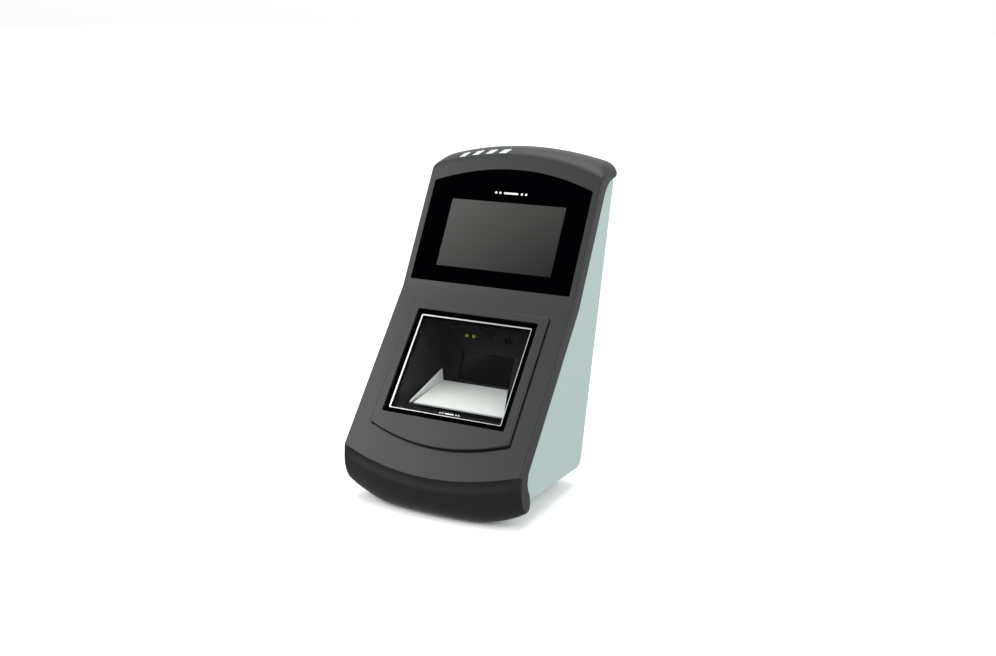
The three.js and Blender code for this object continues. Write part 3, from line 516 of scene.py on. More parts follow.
def toe_outline(x):
    """The toe's section at x, from its heel under its roll and up its groove to the ridge."""
    draw = round_off(x, COVER_HALF, EDGE_RADIUS)
    ridge_y, ridge_z = on_scan(toe_ridge(x), draw)
    belly = (ridge_y - TOE_FORWARD, ridge_z - TOE_BELLY_DOWN)
    under = (min(HEEL - 1.5, ridge_y + TOE_ROLL), toe_bottom(x) + 0.35 * draw)
    middle = ((under[0] + belly[0]) / 2, under[1])
    high = (belly[0], belly[1] + 0.55 * (under[1] - belly[1]))
    points = [(HEEL, under[1])]
    for i in range(15):
        t = i / 14
        weights = ((1 - t) ** 3, 3 * t * (1 - t) ** 2, 3 * t * t * (1 - t), t ** 3)
        ends = (under, middle, high, belly)
        points.append(tuple(sum(w * end[axis] for w, end in zip(weights, ends)) for axis in (0, 1)))
    for down in GROOVE_STEPS:
        points.append((ridge_y + toe_groove(x, down), ridge_z - down))
    points.append(on_scan(toe_ridge(x) - 0.1, draw))
    points.append(on_scan(toe_ridge(x) - 0.9, draw))
    return points


def heel_outline(x):
    """The back of the toe's section at x, from the skirt down to the heel."""
    draw = 0.5 * round_off(x, COVER_HALF, EDGE_RADIUS)
    bottom = toe_bottom(x)
    foot = [(-71, -118), (-69.6 - draw, bottom + 6.4), (-70 - draw, bottom + 3), (-72 - draw, bottom + 0.7)]
    return [on_scan(124, SKIRT_DEPTH), (-74.8, -107.9), (-73.6, -112.5)] + foot


def cover_outline(x):
    """The whole front cover's section at x, before its hollows are cut."""
    draw = round_off(x, COVER_HALF, EDGE_RADIUS)
    return (
        heel_outline(x) + toe_outline(x) + [at_bend(draw)] + crown_outline(x)
        + [on_display(SKIRT_TOP, SKIRT_DEPTH), at_bend(SKIRT_DEPTH)]
    )


def face_hollow(x):
    """The space behind the two faces."""
    return [
        on_scan(toe_ridge(x) - 2.5, COVER_WALL), at_bend(COVER_WALL), on_display(90, COVER_WALL),
        on_display(SKIRT_TOP, LIP_DEPTH), on_display(84, LIP_DEPTH), on_display(84, HOLLOW_DEPTH),
        at_bend(HOLLOW_DEPTH), on_scan(122, HOLLOW_DEPTH), (-66, -119), (-78, -119),
        on_scan(toe_ridge(x) - 1, 8),
    ]


def crown_hollow(x):
    """The space inside the crown, joined to the space behind the display face."""
    roof = CROWN_TOP_Z - sag(x, CROWN_ARCH_RADIUS)
    return [
        on_display(80, COVER_WALL), on_display(crown_ridge(x) - 4, COVER_WALL), (62, roof - 3.4),
        (72, roof - 2.6), (75.5, roof - 3.2), (75.5, roof - 4.4),
        (NECK_BACK_Y, crown_underside(x, NECK_BACK_Y) + COVER_WALL),
        (NECK_FRONT_Y, crown_underside(x, NECK_FRONT_Y) + COVER_WALL),
        on_display(SKIRT_TOP, LIP_DEPTH), on_display(80, LIP_DEPTH),
    ]


PANEL_HALF = 65.7
PANEL_LOW = 6.9
PANEL_CORNER = 86.8
PANEL_ARC = 170.0
PANEL_RECESS = 1.8
SCREEN_MIDDLE = 46.3
SCREEN_SHIFT = 0.5
SCREEN_OPENING = (95.04, 53.86)
SCREEN_SIZE = (94.9, 53.7)
SCREEN_HOLE = (110.0, 71.0)
PLATEAU_HALF = 55.6
PLATEAU_HIGH = 12.0
PLATEAU_CORNER = 110.4
PLATEAU_ARC = 142.0
PLATEAU_RISE = 2.0
GAP_RIGHT = 1.0
GAP_DOWN = 1.1
WINDOW_HALF = 49.4
WINDOW_HIGH = 17.5
WINDOW_LOW = 101.4
WINDOW_MIDDLE = -(WINDOW_HIGH + WINDOW_LOW) / 2
WINDOW_TALL = WINDOW_LOW - WINDOW_HIGH
INDICATORS = (-48.0, -36.5, -25.0, -13.5)
FRONT_FEET = ((-22.0, -76.7), (22.0, -76.7))
FRONT_SEAT = (26.6, 5.0)
FRONT_SEAT_TOP = -139.6
REAR_FEET = ((-42.0, 8.0), (42.0, 8.0))
INDICATOR_ALONG = 0.3
INDICATOR_TILT = 24.0


def indicator_shape(grow):
    """A status light's slanted outline, grown all round."""
    length, height, slant = 7.0, 6.0, 3.4
    corners = [
        (-(length + slant) / 2 - grow, -height / 2 - grow), ((length - slant) / 2 + grow, -height / 2 - grow),
        ((length + slant) / 2 + grow, height / 2 + grow), (-(length - slant) / 2 - grow, height / 2 + grow),
    ]
    return rounded(corners, 0.5 + max(0.0, grow))


def indicator_place(x):
    """The frame of the status light at x, on the crown's front slope."""
    y, z = crown_slope(x, INDICATOR_ALONG)
    roll = Matrix.Rotation(math.asin(x / CROWN_RIDGE_RADIUS), 4, "Y")
    return Matrix.Translation((x, y, z)) @ roll @ Matrix.Rotation(math.radians(INDICATOR_TILT), 4, "X")


def make_cover():
    cover = loft("cover_shell", stations(COVER_HALF, EDGE_RADIUS, CROWN_END_LENGTH), cover_outline)
    outline = arced(PLATEAU_HALF, PLATEAU_HIGH, PLATEAU_CORNER, PLATEAU_ARC, -1, 0.5, round_corner=2.4)
    # A narrow gap is left along the raised panel's right and lower edges.
    gap = [(x + GAP_RIGHT, y - GAP_DOWN) for x, y in outline]
    join(cover, [prism("plateau_gap", gap, -1.0, 3, SCAN)])
    join(cover, [prism("plateau", outline, -1.6, PLATEAU_RISE, SCAN, edge=1.3)], "UNION")
    inner = COVER_HALF - COVER_WALL
    seat = arced(PANEL_HALF, PANEL_LOW, PANEL_CORNER, PANEL_ARC, 1, 0.3, round_corner=1.0)
    spread = [-60, -52, -42, -30, -16, 0, 16, 30, 42, 52, 60]
    join(cover, [
        loft("face_hollow", [-inner] + spread + [inner], face_hollow),
        loft("crown_hollow", spread, crown_hollow),
        prism("panel_seat", seat, -PANEL_RECESS, 6, DISPLAY),
        prism("screen_hole", rectangle(*SCREEN_HOLE, 2, 0, SCREEN_MIDDLE), -8, 2, DISPLAY),
        prism("window_hole", rectangle(WINDOW_HALF * 2, WINDOW_TALL, 1.5, 0, WINDOW_MIDDLE), -12, 8, SCAN),
    ])
    join(cover, [prism("light_hole", indicator_shape(0.0), -4.6, 4, indicator_place(x)) for x in INDICATORS])
    join(cover, [
        prism("foot_seat", rectangle(*FRONT_SEAT, 2.4, x, y), -BEND_HEIGHT, FRONT_SEAT_TOP)
        for x, y in FRONT_FEET
    ])
    soften(cover, 0.3)
    show(cover, "terminal", "front_cover", "charcoal")


# ------------------------------------------------------------ rear housing

HOUSING_EDGE_RADIUS = 4.0
LOWER_CORNER_RADIUS = 8.0
VENT = (34.0, 2.2)
VENT_MIDDLE = 140.0
VENT_STEP = 5.0
SCREW_WELL_RADIUS = 3.6
REAR_SEAT_RADIUS = 7.3
REAR_SEAT_TOP = -126.3
BASE_COVER_WIDTH = 100.0
BASE_COVER_LENGTH = 46.0
BASE_COVER_MIDDLE = 38.0
CASE_SCREWS = ((-56.0, 22.0), (56.0, 22.0), (-56.0, 163.0), (56.0, 163.0))


def lower_back_corner(wall):
    """The arc between the underside and the back wall, drawn in by a wall's thickness."""
    radius = LOWER_CORNER_RADIUS - wall
    centre_y = back_line(-120) - LOWER_CORNER_RADIUS / cos(BACK_LEAN) + 0.4
    centre_z = base_line(centre_y) + LOWER_CORNER_RADIUS / cos(BASE_SLOPE)
    start = -90 - BASE_SLOPE
    turn = -BACK_LEAN - start
    return [
        (centre_y + radius * cos(start + turn * i / 10), centre_z + radius * sin(start + turn * i / 10))
        for i in range(11)
    ]


def housing_top(x, y):
    """The height of the housing's top, just under the crown."""
    return crown_underside(x, y) - 0.5


def housing_outline(x):
    """The rear housing's section at x, before its hollow is cut."""
    draw = round_off(x, HOUSING_HALF, HOUSING_EDGE_RADIUS)
    depth = SKIRT_DEPTH + SEAM
    top_y = 72.4 - draw
    top_z = housing_top(x, top_y)
    return (
        [on_display(87.4, depth), at_bend(depth), on_scan(123.6, depth), (-74.1, -108), (-72.9, -112.7)]
        + [(-70.4, -118.2), (-69, base_line(-69))]
        + [(y - draw, z + 0.3 * draw) for y, z in lower_back_corner(0)]
        + [(back_line(top_z - 3) - draw, top_z - 3), (top_y, top_z)]
        + [(NECK_BACK_Y, housing_top(x, NECK_BACK_Y))]
        + [(59.4, housing_top(x, 59.4)), (56.3, crown_underside(x, 55.5) - 2.8)]
    )


def housing_hollow(x):
    """The space inside the rear housing at x, open to the front."""
    wall = HOUSING_WALL

    def roof(y):
        return housing_top(x, y) - wall

    return (
        [on_display(82, 3), at_bend(3), on_scan(119, 3), (-76, -116), (-67, base_line(-67) + wall)]
        + lower_back_corner(wall)
        + [(back_line(roof(71)) - wall / cos(BACK_LEAN), roof(71)), (65, roof(65)), (60.5, roof(60.5) - 1)]
        + [on_display(85, 15)]
    )


def circle(radius, x=0.0, y=0.0, sides=36):
    """Points of a circle, anticlockwise."""
    turns = [360 * i / sides for i in range(sides)]
    return [(x + radius * cos(turn), y + radius * sin(turn)) for turn in turns]


# An outline's x and y lie on the back wall, and its height stands out of the wall.
BACK_FACE = BACK @ Matrix(((1, 0, 0, 0), (0, 0, 1, 0), (0, 1, 0, 0), (0, 0, 0, 1)))


def on_back(name, points, low, high):
    """An outline on the back wall, raised from low to high out of it."""
    return prism(name, points, low, high, BACK_FACE)


def base_opening(grow, radius):
    """The base cover's outline, grown all round."""
    return rectangle(BASE_COVER_WIDTH + grow, BASE_COVER_LENGTH + grow, radius, 0, BASE_COVER_MIDDLE)


def make_housing():
    housing = loft("housing_shell", stations(HOUSING_HALF, HOUSING_EDGE_RADIUS), housing_outline)
    inner = HOUSING_HALF - HOUSING_WALL
    join(housing, [loft("hollow", [-inner, -52, -38, -20, 0, 20, 38, 52, inner], housing_hollow)])
    tongue = [
        on_display(80, 5), at_bend(5), on_scan(116, 5), (-71, -111), (-62, -111), on_scan(106, 16),
        at_bend(16), on_display(80, 16),
    ]
    tall = BAY_HIGH - BAY_LOW
    added = [
        loft("tongue", [side * (inner - 0.8), side * (inner + 0.9)], lambda x: tongue) for side in (-1, 1)
    ]
    added.append(on_back("bay_walls", rectangle(BAY_HALF * 2 + 4, tall + 4), -14, -1.5))
    join(housing, added, "UNION")
    vents = [
        on_back("vent", rectangle(*VENT, 1.05, 0, VENT_MIDDLE + VENT_STEP * i), -6, 3)
        for i in range(-3, 4)
    ]
    screw_wells = [on_back("well", circle(SCREW_WELL_RADIUS, x, z), -3, 3) for x, z in CASE_SCREWS]
    feet = [
        prism("foot_seat", circle(REAR_SEAT_RADIUS, x, y), -BEND_HEIGHT, REAR_SEAT_TOP)
        for x, y in REAR_FEET
    ]
    recess = prism("recess", base_opening(0.8, 5), -4, 1.9, BASE)
    opening = prism("opening", base_opening(-10, 3), -4, 6, BASE)
    join(housing, [
        on_back("bay", rectangle(BAY_HALF * 2, tall, 1.5), -BAY_DEPTH, 6),
        on_back("bay_window", rectangle(BAY_HALF * 2 - 8, tall - 6, 1), -16, 0), recess, opening,
    ] + vents + screw_wells + feet)
    soften(housing, 0.3)
    show(housing, "terminal", "rear_housing", "pale_grey")


# ------------------------------------------------------------ display


MARK_THICK = 0.04
MARK_BAR = (12.0, 1.5)
MARK_DOT_RADIUS = 0.95
MARK_DOTS = (-12.5, -9.0, 9.0, 12.5)


def make_mark(name, x, up, size, height, place, node):
    """A printed mark without lettering: a bar with two dots on either side of it."""
    bar = rectangle(MARK_BAR[0] * size, MARK_BAR[1] * size, 0.7 * size, x, up)
    pieces = [prism(name, bar, height, height + MARK_THICK, place)]
    for i, offset in enumerate(MARK_DOTS):
        dot = circle(MARK_DOT_RADIUS * size, x + offset * size, up, 20)
        pieces.append(prism(f"{name}_dot_{i + 1}", dot, height, height + MARK_THICK, place))
    for piece in pieces:
        show(piece, "terminal", node, "white_plastic")


def make_display():
    seat = arced(PANEL_HALF, PANEL_LOW, PANEL_CORNER, PANEL_ARC, 1, -0.05, round_corner=0.8)
    bezel = prism("display_bezel", seat, -1.7, -0.3, DISPLAY, edge=0.25)
    opening = rectangle(*SCREEN_OPENING, 0.3, SCREEN_SHIFT, SCREEN_MIDDLE)
    join(bezel, [prism("hole", opening, -3, 1, DISPLAY)])
    smooth(bezel)
    face = rectangle(*SCREEN_SIZE, 0.3, SCREEN_SHIFT, SCREEN_MIDDLE)
    screen = prism("display_screen", face, -1.6, -0.34, DISPLAY)
    smooth(screen)
    for piece, slot in ((bezel, "gloss_black"), (screen, "screen")):
        show(piece, "terminal", "display_panel", slot)
    make_mark("panel_mark", 1.0, 80.6, 1.0, -0.29, DISPLAY, "display_panel")


# ------------------------------------------------------------ scan window

GLASS_WIDTH = 98.0
GLASS_TALL = 83.1
GLASS_TOP = 0.6
GLASS_UNDER = -2.4
LINE_BORDER = 3.6


def frame_opening(left, right, top, bottom, radius):
    """A rectangle on the glass, set in from the glass's edges by these four borders."""
    width = GLASS_WIDTH - left - right
    tall = GLASS_TALL - top - bottom
    return rectangle(width, tall, radius, (left - right) / 2, WINDOW_MIDDLE + (bottom - top) / 2)


def make_window():
    pane = prism("window_glass", frame_opening(0, 0, 0, 0, 1.4), GLASS_UNDER, GLASS_TOP, SCAN, edge=0.3)
    smooth(pane)
    edge = LINE_BORDER
    outer = frame_opening(0.35, 0.35, 0.35, 0.35, 1.2)
    line_outer = frame_opening(edge, edge, edge, edge, 1.0)
    # The silver line is printed on the glass. It is drawn wider along its top and left edges, a painted
    # highlight where light catches the glass's edge there.
    line_inner = frame_opening(edge + 1.1, edge + 0.55, edge + 1.0, edge + 0.4, 0.5)
    shade = frame_opening(edge + 1.8, edge + 1.2, edge + 1.8, edge + 1.4, 0.4)
    border = ring_prism("window_border", outer, line_outer, GLASS_TOP + 0.02, GLASS_TOP + 0.1, SCAN)
    line = ring_prism("window_line", line_outer, line_inner, GLASS_TOP + 0.02, GLASS_TOP + 0.18, SCAN)
    mask = ring_prism("window_mask", outer, shade, GLASS_UNDER - 0.16, GLASS_UNDER - 0.04, SCAN)
    for piece, node, slot in (
        (pane, "scan_glass", "clear_glass"), (border, "scan_glass", "gloss_black"),
        (line, "glass_trim", "silver"), (mask, "scan_glass", "gloss_black"),
    ):
        show(piece, "terminal", node, slot)
    make_mark("glass_mark", 3.8, -95.2, 0.6, GLASS_TOP + 0.02, SCAN, "scan_glass")


# ------------------------------------------------------------ status lights


def make_status_lights():
    for i, x in enumerate(INDICATORS):
        place = indicator_place(x)
        light = prism(f"status_lens_{i + 1}", indicator_shape(-0.2), -3.8, -0.2, place, edge=0.35)
        smooth(light)
        show(light, "terminal", f"status_light_{i + 1}", "light_lens")


# ------------------------------------------------------------ scan hood

HOOD_WALL = 1.6
HOOD_RIM_HALF = 46.2
HOOD_BACK_HALF = 34.5
HOOD_FRONT_HALF = 43.0
HOOD_RIM = (20.8, 98.2)
HOOD_RIM_DEPTH = 2.8
HOOD_TOP = (5.0, -26.5)
HOOD_FRONT = (-50.6, -76.4)
LAMPS = (-18.5, -12.7)
LAMP_UP = 10.8
RANGE_LENS = (16.4, 11.0)
RANGE_LENS_RADIUS = 3.0
BEEPER = (0.5, 14.0)
BEEPER_RADIUS = 4.3
IMAGER_WIDTH = 44.0
IMAGER_TALL = 22.6
IMAGER_DOWN = 12.6


def hood_points(grow, rim_depth):
    """The corners of the hood's inside, grown outwards, from its rim behind the glass to its floor."""
    points = []
    for side in (-1, 1):
        for down in (HOOD_RIM[0] - grow, HOOD_RIM[1] + grow):
            points.append((side * (HOOD_RIM_HALF + grow),) + on_scan(down, rim_depth))
        x = side * (HOOD_BACK_HALF + grow)
        points.append((x, HOOD_TOP[0] + grow, HOOD_TOP[1] + grow))
        points.append((x, HOOD_MIDDLE[0] + grow, HOOD_MIDDLE[1]))
        points.append((x, HOOD_LOW[0] + grow, HOOD_LOW[1] - grow))
        points.append((side * (HOOD_FRONT_HALF + grow), HOOD_FRONT[0], HOOD_FRONT[1] - grow))
    return points


def make_hood():
    hood = hull("hood_shell", hood_points(HOOD_WALL, HOOD_RIM_DEPTH + 0.4))
    outer = rectangle(WINDOW_HALF * 2 + 8, GLASS_TALL + 8, 1.4, 0, WINDOW_MIDDLE)
    inner = rectangle(HOOD_RIM_HALF * 2, GLASS_TALL - 5.8, 0.5, 0, WINDOW_MIDDLE)
    flange = ring_prism("hood_flange", outer, inner, -HOOD_RIM_DEPTH - 1.6, -HOOD_RIM_DEPTH - 0.4, SCAN)
    join(hood, [flange], "UNION")
    join(hood, [hull("hood_hollow", hood_points(0.0, HOOD_RIM_DEPTH - 0.8))])
    join(hood, [prism("lamp_hole", circle(2.0, x, LAMP_UP), -6, 6, LAMP_WALL) for x in LAMPS])
    join(hood, [
        prism("lens_hole", circle(RANGE_LENS_RADIUS + 0.4, *RANGE_LENS), -6, 6, LAMP_WALL),
        prism("grille_hole", circle(BEEPER_RADIUS + 0.3, *BEEPER), -6, 6, LAMP_WALL),
        prism("imager_hole", rectangle(IMAGER_WIDTH, IMAGER_TALL, 1, 0, -IMAGER_DOWN), -6, 6, IMAGER_WALL),
    ])
    soften(hood, 0.25, 2)
    show(hood, "terminal", "scan_hood", "black_plastic")


REFLECTOR_LEFT = -32.4
REFLECTOR_REAR_RIGHT = 22.5
REFLECTOR_FRONT_RIGHT = 41.0
REFLECTOR_LENGTH = 43.6
REFLECTOR_THICK = 1.2
REFLECTOR = frame_at(5.9, -50.6, -73.3)
FLANGE_LEAN = 3.0
FLANGE_HEIGHT = 10.4


def make_reflector():
    outline = [
        (REFLECTOR_LEFT, 0), (REFLECTOR_FRONT_RIGHT, 0), (REFLECTOR_REAR_RIGHT, REFLECTOR_LENGTH),
        (REFLECTOR_LEFT, REFLECTOR_LENGTH),
    ]
    plate = prism("reflector_plate", outline, 0, REFLECTOR_THICK, REFLECTOR)
    corners = []
    for x in (REFLECTOR_LEFT - 0.8, REFLECTOR_LEFT + 0.2):
        corners += [(x - FLANGE_LEAN, 0.5, 0), (x - FLANGE_LEAN, 0.5, REFLECTOR_THICK)]
        corners += [(x, REFLECTOR_LENGTH, 0), (x, REFLECTOR_LENGTH, FLANGE_HEIGHT)]
    join(plate, [hull("reflector_flange", corners, REFLECTOR)], "UNION")
    soften(plate, 0.2, 2)
    show(plate, "terminal", "floor_reflector", "white_plastic")


def turned(name, profile, place, node, slot, sides=40):
    """A turned piece of the terminal, smoothed and shown."""
    piece = lathe(name, profile, place, sides)
    smooth(piece)
    show(piece, "terminal", node, slot)


def dome(radius, height, top, steps=8):
    """A shallow domed end: (radius, z) points from the rim in to the middle."""
    turns = [90 * i / steps for i in range(steps + 1)]
    return [(radius * cos(turn), top - height + height * sin(turn)) for turn in turns]


LENS_BOTTOM = -8.4
LAMP_RADIUS = 1.35
LAMP_TOP = 0.7


def make_hood_fittings():
    for i, x in enumerate(LAMPS):
        place = LAMP_WALL @ Matrix.Translation((x, LAMP_UP, 0))
        profile = [(0, LENS_BOTTOM), (1.6, LENS_BOTTOM), (1.6, -7.4), (LAMP_RADIUS, -7.2)]
        profile += dome(LAMP_RADIUS, LAMP_RADIUS, LAMP_TOP)[:-1] + [(0, LAMP_TOP)]
        turned(f"scan_lamp_lens_{i + 1}", profile, place, f"scan_lamp_{i + 1}", "lamp_lens")
    place = LAMP_WALL @ Matrix.Translation((*RANGE_LENS, 0))
    radius = RANGE_LENS_RADIUS
    profile = [
        (0, LENS_BOTTOM), (radius, LENS_BOTTOM), (radius, -0.9), (radius - 0.3, -0.6), (radius - 0.7, -0.6),
        (radius - 0.9, -1.4),
    ]
    profile += dome(radius - 0.9, 0.8, -0.5)[1:-1] + [(0, -0.5)]
    turned("range_lens_barrel", profile, place, "range_lens", "dark_lens")
    grille = prism("grille_disc", circle(BEEPER_RADIUS, *BEEPER), -1.4, -0.2, LAMP_WALL, edge=0.3)
    slots = []
    for up, length in ((-2.4, 4.2), (-0.8, 6.2), (0.8, 6.2), (2.4, 4.2)):
        outline = rectangle(length, 0.75, 0.35, BEEPER[0], BEEPER[1] + up)
        slots.append(prism("grille_slot", outline, -3, 1, LAMP_WALL))
    join(grille, slots)
    smooth(grille)
    show(grille, "terminal", "beeper_grille", "black_plastic")
    outline = rectangle(IMAGER_WIDTH - 0.7, IMAGER_TALL - 0.7, 0.8, 0, -IMAGER_DOWN)
    window = prism("imager_pane", outline, -1.4, -0.2, IMAGER_WALL, edge=0.3)
    smooth(window)
    show(window, "terminal", "imager_window", "dark_lens")


# ------------------------------------------------------------ back and underside


SCREW_HEAD_OUT = -0.6
RECESS_REACH = 2.2
RECESS_WIDE = 0.8
RECESS_DEEP = 1.1


def refined(node, body, slot, width, cuts=()):
    """A CAD node's own shape with its sharp edges rounded and, where given, further cuts."""
    source = next(piece for piece in bpy.data.objects if piece.get("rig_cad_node") == node)
    piece = bpy.data.objects.new(node + "_fine", source.data.copy())
    bpy.context.scene.collection.objects.link(piece)
    join(piece, cuts)
    soften(piece, width, 2)
    show(piece, body, node, slot)


def cross_recess(x, z):
    """Two crossed bars, to be cut into the head of the screw at x and z on the back wall."""
    low, high = SCREW_HEAD_OUT - RECESS_DEEP, SCREW_HEAD_OUT + 2
    return [
        on_back("recess_wide", rectangle(RECESS_REACH * 2, RECESS_WIDE, 0, x, z), low, high),
        on_back("recess_tall", rectangle(RECESS_WIDE, RECESS_REACH * 2, 0, x, z), low, high),
    ]


def make_back():
    for i, (x, z) in enumerate(CASE_SCREWS):
        refined(f"case_screw_{i + 1}", "terminal", "steel", 0.2, cross_recess(x, z))
    for node, body, slot, width in (
        ("base_cover", "terminal", "pale_grey", 0.3), ("port_plate", "terminal", "black_plastic", 0.2),
        ("ethernet_jack", "terminal", "steel", 0.25), ("usb_jack", "terminal", "steel", 0.25),
        ("power_inlet", "terminal", "black_plastic", 0.3), ("switch_body", "terminal", "black_plastic", 0.4),
        ("power_rocker", "rocker", "black_plastic", 0.5), ("reset_button", "button", "black_plastic", 0.3),
    ):
        refined(node, body, slot, width)


FOOT_TOP = -126.6
FOOT_RADIUS = 7.0
FOOT_TIP_RADIUS = 6.3
FOOT_ROUND = 0.8


def make_feet():
    low = -BEND_HEIGHT
    profile = [(0, FOOT_TOP), (6.4, FOOT_TOP), (FOOT_RADIUS, FOOT_TOP - 0.6), (FOOT_RADIUS, FOOT_TOP - 4)]
    profile.append((FOOT_TIP_RADIUS, FOOT_TOP - 9))
    for turn in range(0, 91, 15):
        profile.append((FOOT_TIP_RADIUS - FOOT_ROUND * (1 - cos(turn)), low + FOOT_ROUND * (1 - sin(turn))))
    profile += [(3.4, low), (3.0, low + 0.5), (0, low + 0.5)]
    for i, (x, y) in enumerate(REAR_FEET):
        place = Matrix.Translation((x, y, 0))
        turned(f"rear_foot_pad_{i + 1}", profile, place, f"rear_foot_{i + 1}", "rubber", 48)
    for i in range(len(FRONT_FEET)):
        refined(f"front_foot_{i + 1}", "terminal", "rubber", 0.4)


# ------------------------------------------------------------ materials


def new_material(name):
    """A node material, with its nodes and its links."""
    material = bpy.data.materials.new(name)
    material.use_nodes = True
    return material, material.node_tree.nodes, material.node_tree.links


def grained(name, colour, roughness, grain=0.0, grain_size=0.4, shift=0.05, **settings):
    """A moulded surface: a base colour that drifts by shift, uneven gloss, and a grain of grain_size mm."""
    material, nodes, links = new_material(name)
    shader = nodes["Principled BSDF"]
    for socket, value in settings.items():
        shader.inputs[socket.replace("_", " ")].default_value = value
    place = nodes.new("ShaderNodeTexCoord")
    drift = nodes.new("ShaderNodeTexNoise")
    drift.inputs["Scale"].default_value = 35
    drift.inputs["Detail"].default_value = 4
    links.new(place.outputs["Object"], drift.inputs["Vector"])
    tint = nodes.new("ShaderNodeMix")
    tint.data_type = "RGBA"
    tint.inputs["A"].default_value = tuple(c * (1 - shift) for c in colour) + (1,)
    tint.inputs["B"].default_value = tuple(c * (1 + shift) for c in colour) + (1,)
    links.new(drift.outputs["Fac"], tint.inputs["Factor"])
    links.new(tint.outputs["Result"], shader.inputs["Base Color"])
    gloss = nodes.new("ShaderNodeMapRange")
    gloss.inputs["To Min"].default_value = roughness * 0.9
    gloss.inputs["To Max"].default_value = min(1.0, roughness * 1.1)
    links.new(drift.outputs["Fac"], gloss.inputs["Value"])
    links.new(gloss.outputs["Result"], shader.inputs["Roughness"])
    if grain > 0:
        texture = nodes.new("ShaderNodeTexNoise")
        texture.inputs["Scale"].default_value = 1000 / grain_size
        texture.inputs["Detail"].default_value = 2
        links.new(place.outputs["Object"], texture.inputs["Vector"])
        bump = nodes.new("ShaderNodeBump")
        bump.inputs["Strength"].default_value = grain
        bump.inputs["Distance"].default_value = 0.00006
        links.new(texture.outputs["Fac"], bump.inputs["Height"])
        links.new(bump.outputs["Normal"], shader.inputs["Normal"])
    return material


def screen_material():
    """The switched-off display: dark, with a painted reflection of light that makes it a little lighter
    towards its upper left.
    """
    material, nodes, links = new_material("screen")
    shader = nodes["Principled BSDF"]
    shader.inputs["Roughness"].default_value = 0.35
    shader.inputs["Specular IOR Level"].default_value = 0.05
    place = nodes.new("ShaderNodeTexCoord")
    split = nodes.new("ShaderNodeSeparateXYZ")
    links.new(place.outputs["Object"], split.inputs["Vector"])
    across = nodes.new("ShaderNodeMath")
    across.operation = "MULTIPLY_ADD"
    across.inputs[1].default_value = -0.55
    links.new(split.outputs["X"], across.inputs[0])
    links.new(split.outputs["Z"], across.inputs[2])
    reach = nodes.new("ShaderNodeMapRange")
    reach.inputs["From Min"].default_value = 0.115
    reach.inputs["From Max"].default_value = 0.225
    links.new(across.outputs[0], reach.inputs["Value"])
    # The lighter upper left is a painted reflection of light, mixed into the base colour.
    tint = nodes.new("ShaderNodeMix")
    tint.data_type = "RGBA"
    tint.inputs["A"].default_value = (0.002, 0.002, 0.002, 1)
    tint.inputs["B"].default_value = (0.058, 0.057, 0.055, 1)
    links.new(reach.outputs["Result"], tint.inputs["Factor"])
    links.new(tint.outputs["Result"], shader.inputs["Base Color"])
    return material


def clear_material():
    """The window's glass: almost clear, with a weak reflection."""
    material, nodes, _ = new_material("window_glass")
    shader = nodes["Principled BSDF"]
    shader.inputs["Base Color"].default_value = (0.02, 0.02, 0.02, 1)
    shader.inputs["Roughness"].default_value = 0.02
    shader.inputs["Alpha"].default_value = 0.06
    shader.inputs["Specular IOR Level"].default_value = 0.15
    material.blend_method = "BLEND"
    return material


def metal(name, colour, roughness):
    return grained(name, colour, roughness, grain=0.15, grain_size=0.3, shift=0.04, Metallic=1.0)


def make_materials():
    return {
        "charcoal": grained(
            "charcoal", (0.0095, 0.0105, 0.0103), 0.43, grain=0.35, grain_size=0.45, shift=0.06,
            Specular_IOR_Level=0.3,
        ),
        "pale_grey": grained("pale_grey", (0.34, 0.437, 0.427), 0.45, grain=0.25, grain_size=0.5, shift=0.03),
        "gloss_black": grained(
            "gloss_black", (0.0005, 0.0005, 0.0009), 0.06, shift=0.1, Specular_IOR_Level=0.0,
        ),
        "screen": screen_material(),
        "clear_glass": clear_material(),
        "silver": metal("silver", (0.36, 0.37, 0.37), 0.3),
        "steel": metal("steel", (0.55, 0.56, 0.57), 0.32),
        "black_plastic": grained(
            "black_plastic", (0.006, 0.0062, 0.0075), 0.5, grain=0.3, Specular_IOR_Level=0.12,
        ),
        "heat_sink_black": grained("heat_sink_black", (0.02, 0.02, 0.02), 0.4, grain=0.2),
        "rubber": grained("rubber", (0.018, 0.018, 0.018), 0.85, grain=0.5, grain_size=0.7),
        "white_plastic": grained("white_plastic", (0.62, 0.66, 0.63), 0.6, grain=0.2, shift=0.02),
        "light_lens": grained("light_lens", (0.52, 0.58, 0.56), 0.35, shift=0.12),
        "lamp_lens": grained("lamp_lens", (0.55, 0.56, 0.08), 0.2, shift=0.1),
        "dark_lens": grained("dark_lens", (0.002, 0.002, 0.003), 0.12, shift=0.1, Specular_IOR_Level=0.03),
        "circuit_board": grained("circuit_board", (0.02, 0.12, 0.05), 0.4, grain=0.3, shift=0.2),
        "flat_cable": grained("flat_cable", (0.42, 0.19, 0.04), 0.4, shift=0.1),
    }


def dress(materials):
    """Gives every shown piece the material of its slot."""
    slots = {row["node"]: row["material_slot"] for row in frame["record"]["subparts"]}
    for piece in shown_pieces():
        slot = piece.get("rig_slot") or slots[piece["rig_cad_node"]]
        piece.data.materials.clear()
        piece.data.materials.append(materials[slot])


# ------------------------------------------------------------ stage, lights, camera

FLOOR_REACH = 12.0


def make_stage():
    """A flat white floor that throws no light back onto the object."""
    bm = bmesh.new()
    bmesh.ops.create_grid(bm, x_segments=8, y_segments=8, size=FLOOR_REACH)
    mesh = bpy.data.meshes.new("floor")
    bm.to_mesh(mesh)
    bm.free()
    floor = bpy.data.objects.new("floor", mesh)
    bpy.context.scene.collection.objects.link(floor)
    white = grained("floor", (0.94, 0.95, 0.95), 0.8, shift=0.005, Specular_IOR_Level=0.0)
    floor.data.materials.append(white)
    floor.visible_diffuse = False
    floor.visible_glossy = False


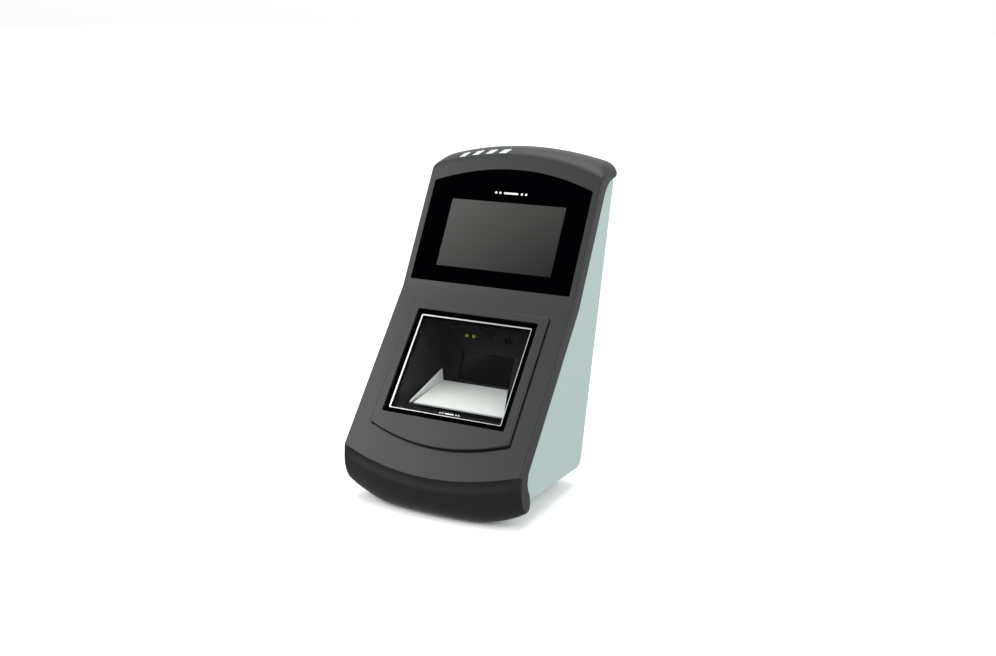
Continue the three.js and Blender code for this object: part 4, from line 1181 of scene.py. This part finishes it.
def area_light(name, place, target, size, power):
    """A rectangular light aimed at a target; places and sizes are in metres."""
    light = bpy.data.lights.new(name, "AREA")
    light.shape = "RECTANGLE"
    light.size, light.size_y = size
    light.energy = power
    lamp = bpy.data.objects.new(name, light)
    lamp.location = place
    lamp.rotation_euler = (Vector(target) - Vector(place)).to_track_quat("-Z", "Y").to_euler()
    bpy.context.scene.collection.objects.link(lamp)


def soft_sky():
    """A white room: bright above and behind the object, dimmer below and in front of it."""
    world = bpy.data.worlds.new("world")
    world.use_nodes = True
    nodes, links = world.node_tree.nodes, world.node_tree.links
    background = nodes["Background"]
    background.inputs["Color"].default_value = (1.0, 1.0, 1.0, 1)
    place = nodes.new("ShaderNodeTexCoord")
    split = nodes.new("ShaderNodeSeparateXYZ")
    links.new(place.outputs["Generated"], split.inputs["Vector"])
    lean = nodes.new("ShaderNodeMath")
    lean.operation = "MULTIPLY_ADD"
    lean.inputs[1].default_value = 0.4
    links.new(split.outputs["Y"], lean.inputs[0])
    links.new(split.outputs["Z"], lean.inputs[2])
    level = nodes.new("ShaderNodeMapRange")
    level.interpolation_type = "SMOOTHSTEP"
    level.inputs["From Min"].default_value = -0.35
    level.inputs["From Max"].default_value = 0.35
    level.inputs["To Min"].default_value = 0.45
    level.inputs["To Max"].default_value = 1.0
    links.new(lean.outputs[0], level.inputs["Value"])
    links.new(level.outputs["Result"], background.inputs["Strength"])
    bpy.context.scene.world = world


def make_lights():
    overhead = bpy.data.lights.new("overhead", "SUN")
    overhead.energy = 1.8
    overhead.angle = math.radians(50)
    lamp = bpy.data.objects.new("overhead", overhead)
    lamp.rotation_euler = (math.radians(-12), math.radians(-8), 0)
    bpy.context.scene.collection.objects.link(lamp)
    area_light("left", (-0.62, -0.4, 0.62), (0, -0.03, 0.12), (0.4, 0.4), 3.0)
    area_light("fill", (-1.0, -0.95, 0.8), (0, -0.05, 0.05), (0.8, 0.8), 6)
    area_light("right", (1.6, -0.2, 0.9), (0, 0, 0.12), (1.4, 1.4), 22)
    soft_sky()
    bpy.context.scene.view_settings.view_transform = "Standard"


def make_camera():
    """The photograph's view, fitted to the outlines of the display, the window and the cover."""
    data = bpy.data.cameras.new("camera")
    data.lens = 43.37
    data.sensor_width = 36
    camera = bpy.data.objects.new("camera", data)
    camera.location = (0.4003, -0.7515, 0.352)
    camera.rotation_euler = (math.radians(90 - 15.34), 0, math.radians(27.2))
    bpy.context.scene.collection.objects.link(camera)
    bpy.context.scene.camera = camera


make_camera()
make_cover()
make_housing()
make_display()
make_window()
make_status_lights()
make_hood()
make_reflector()
make_hood_fittings()
make_back()
make_feet()
dress(make_materials())
make_stage()
make_lights()
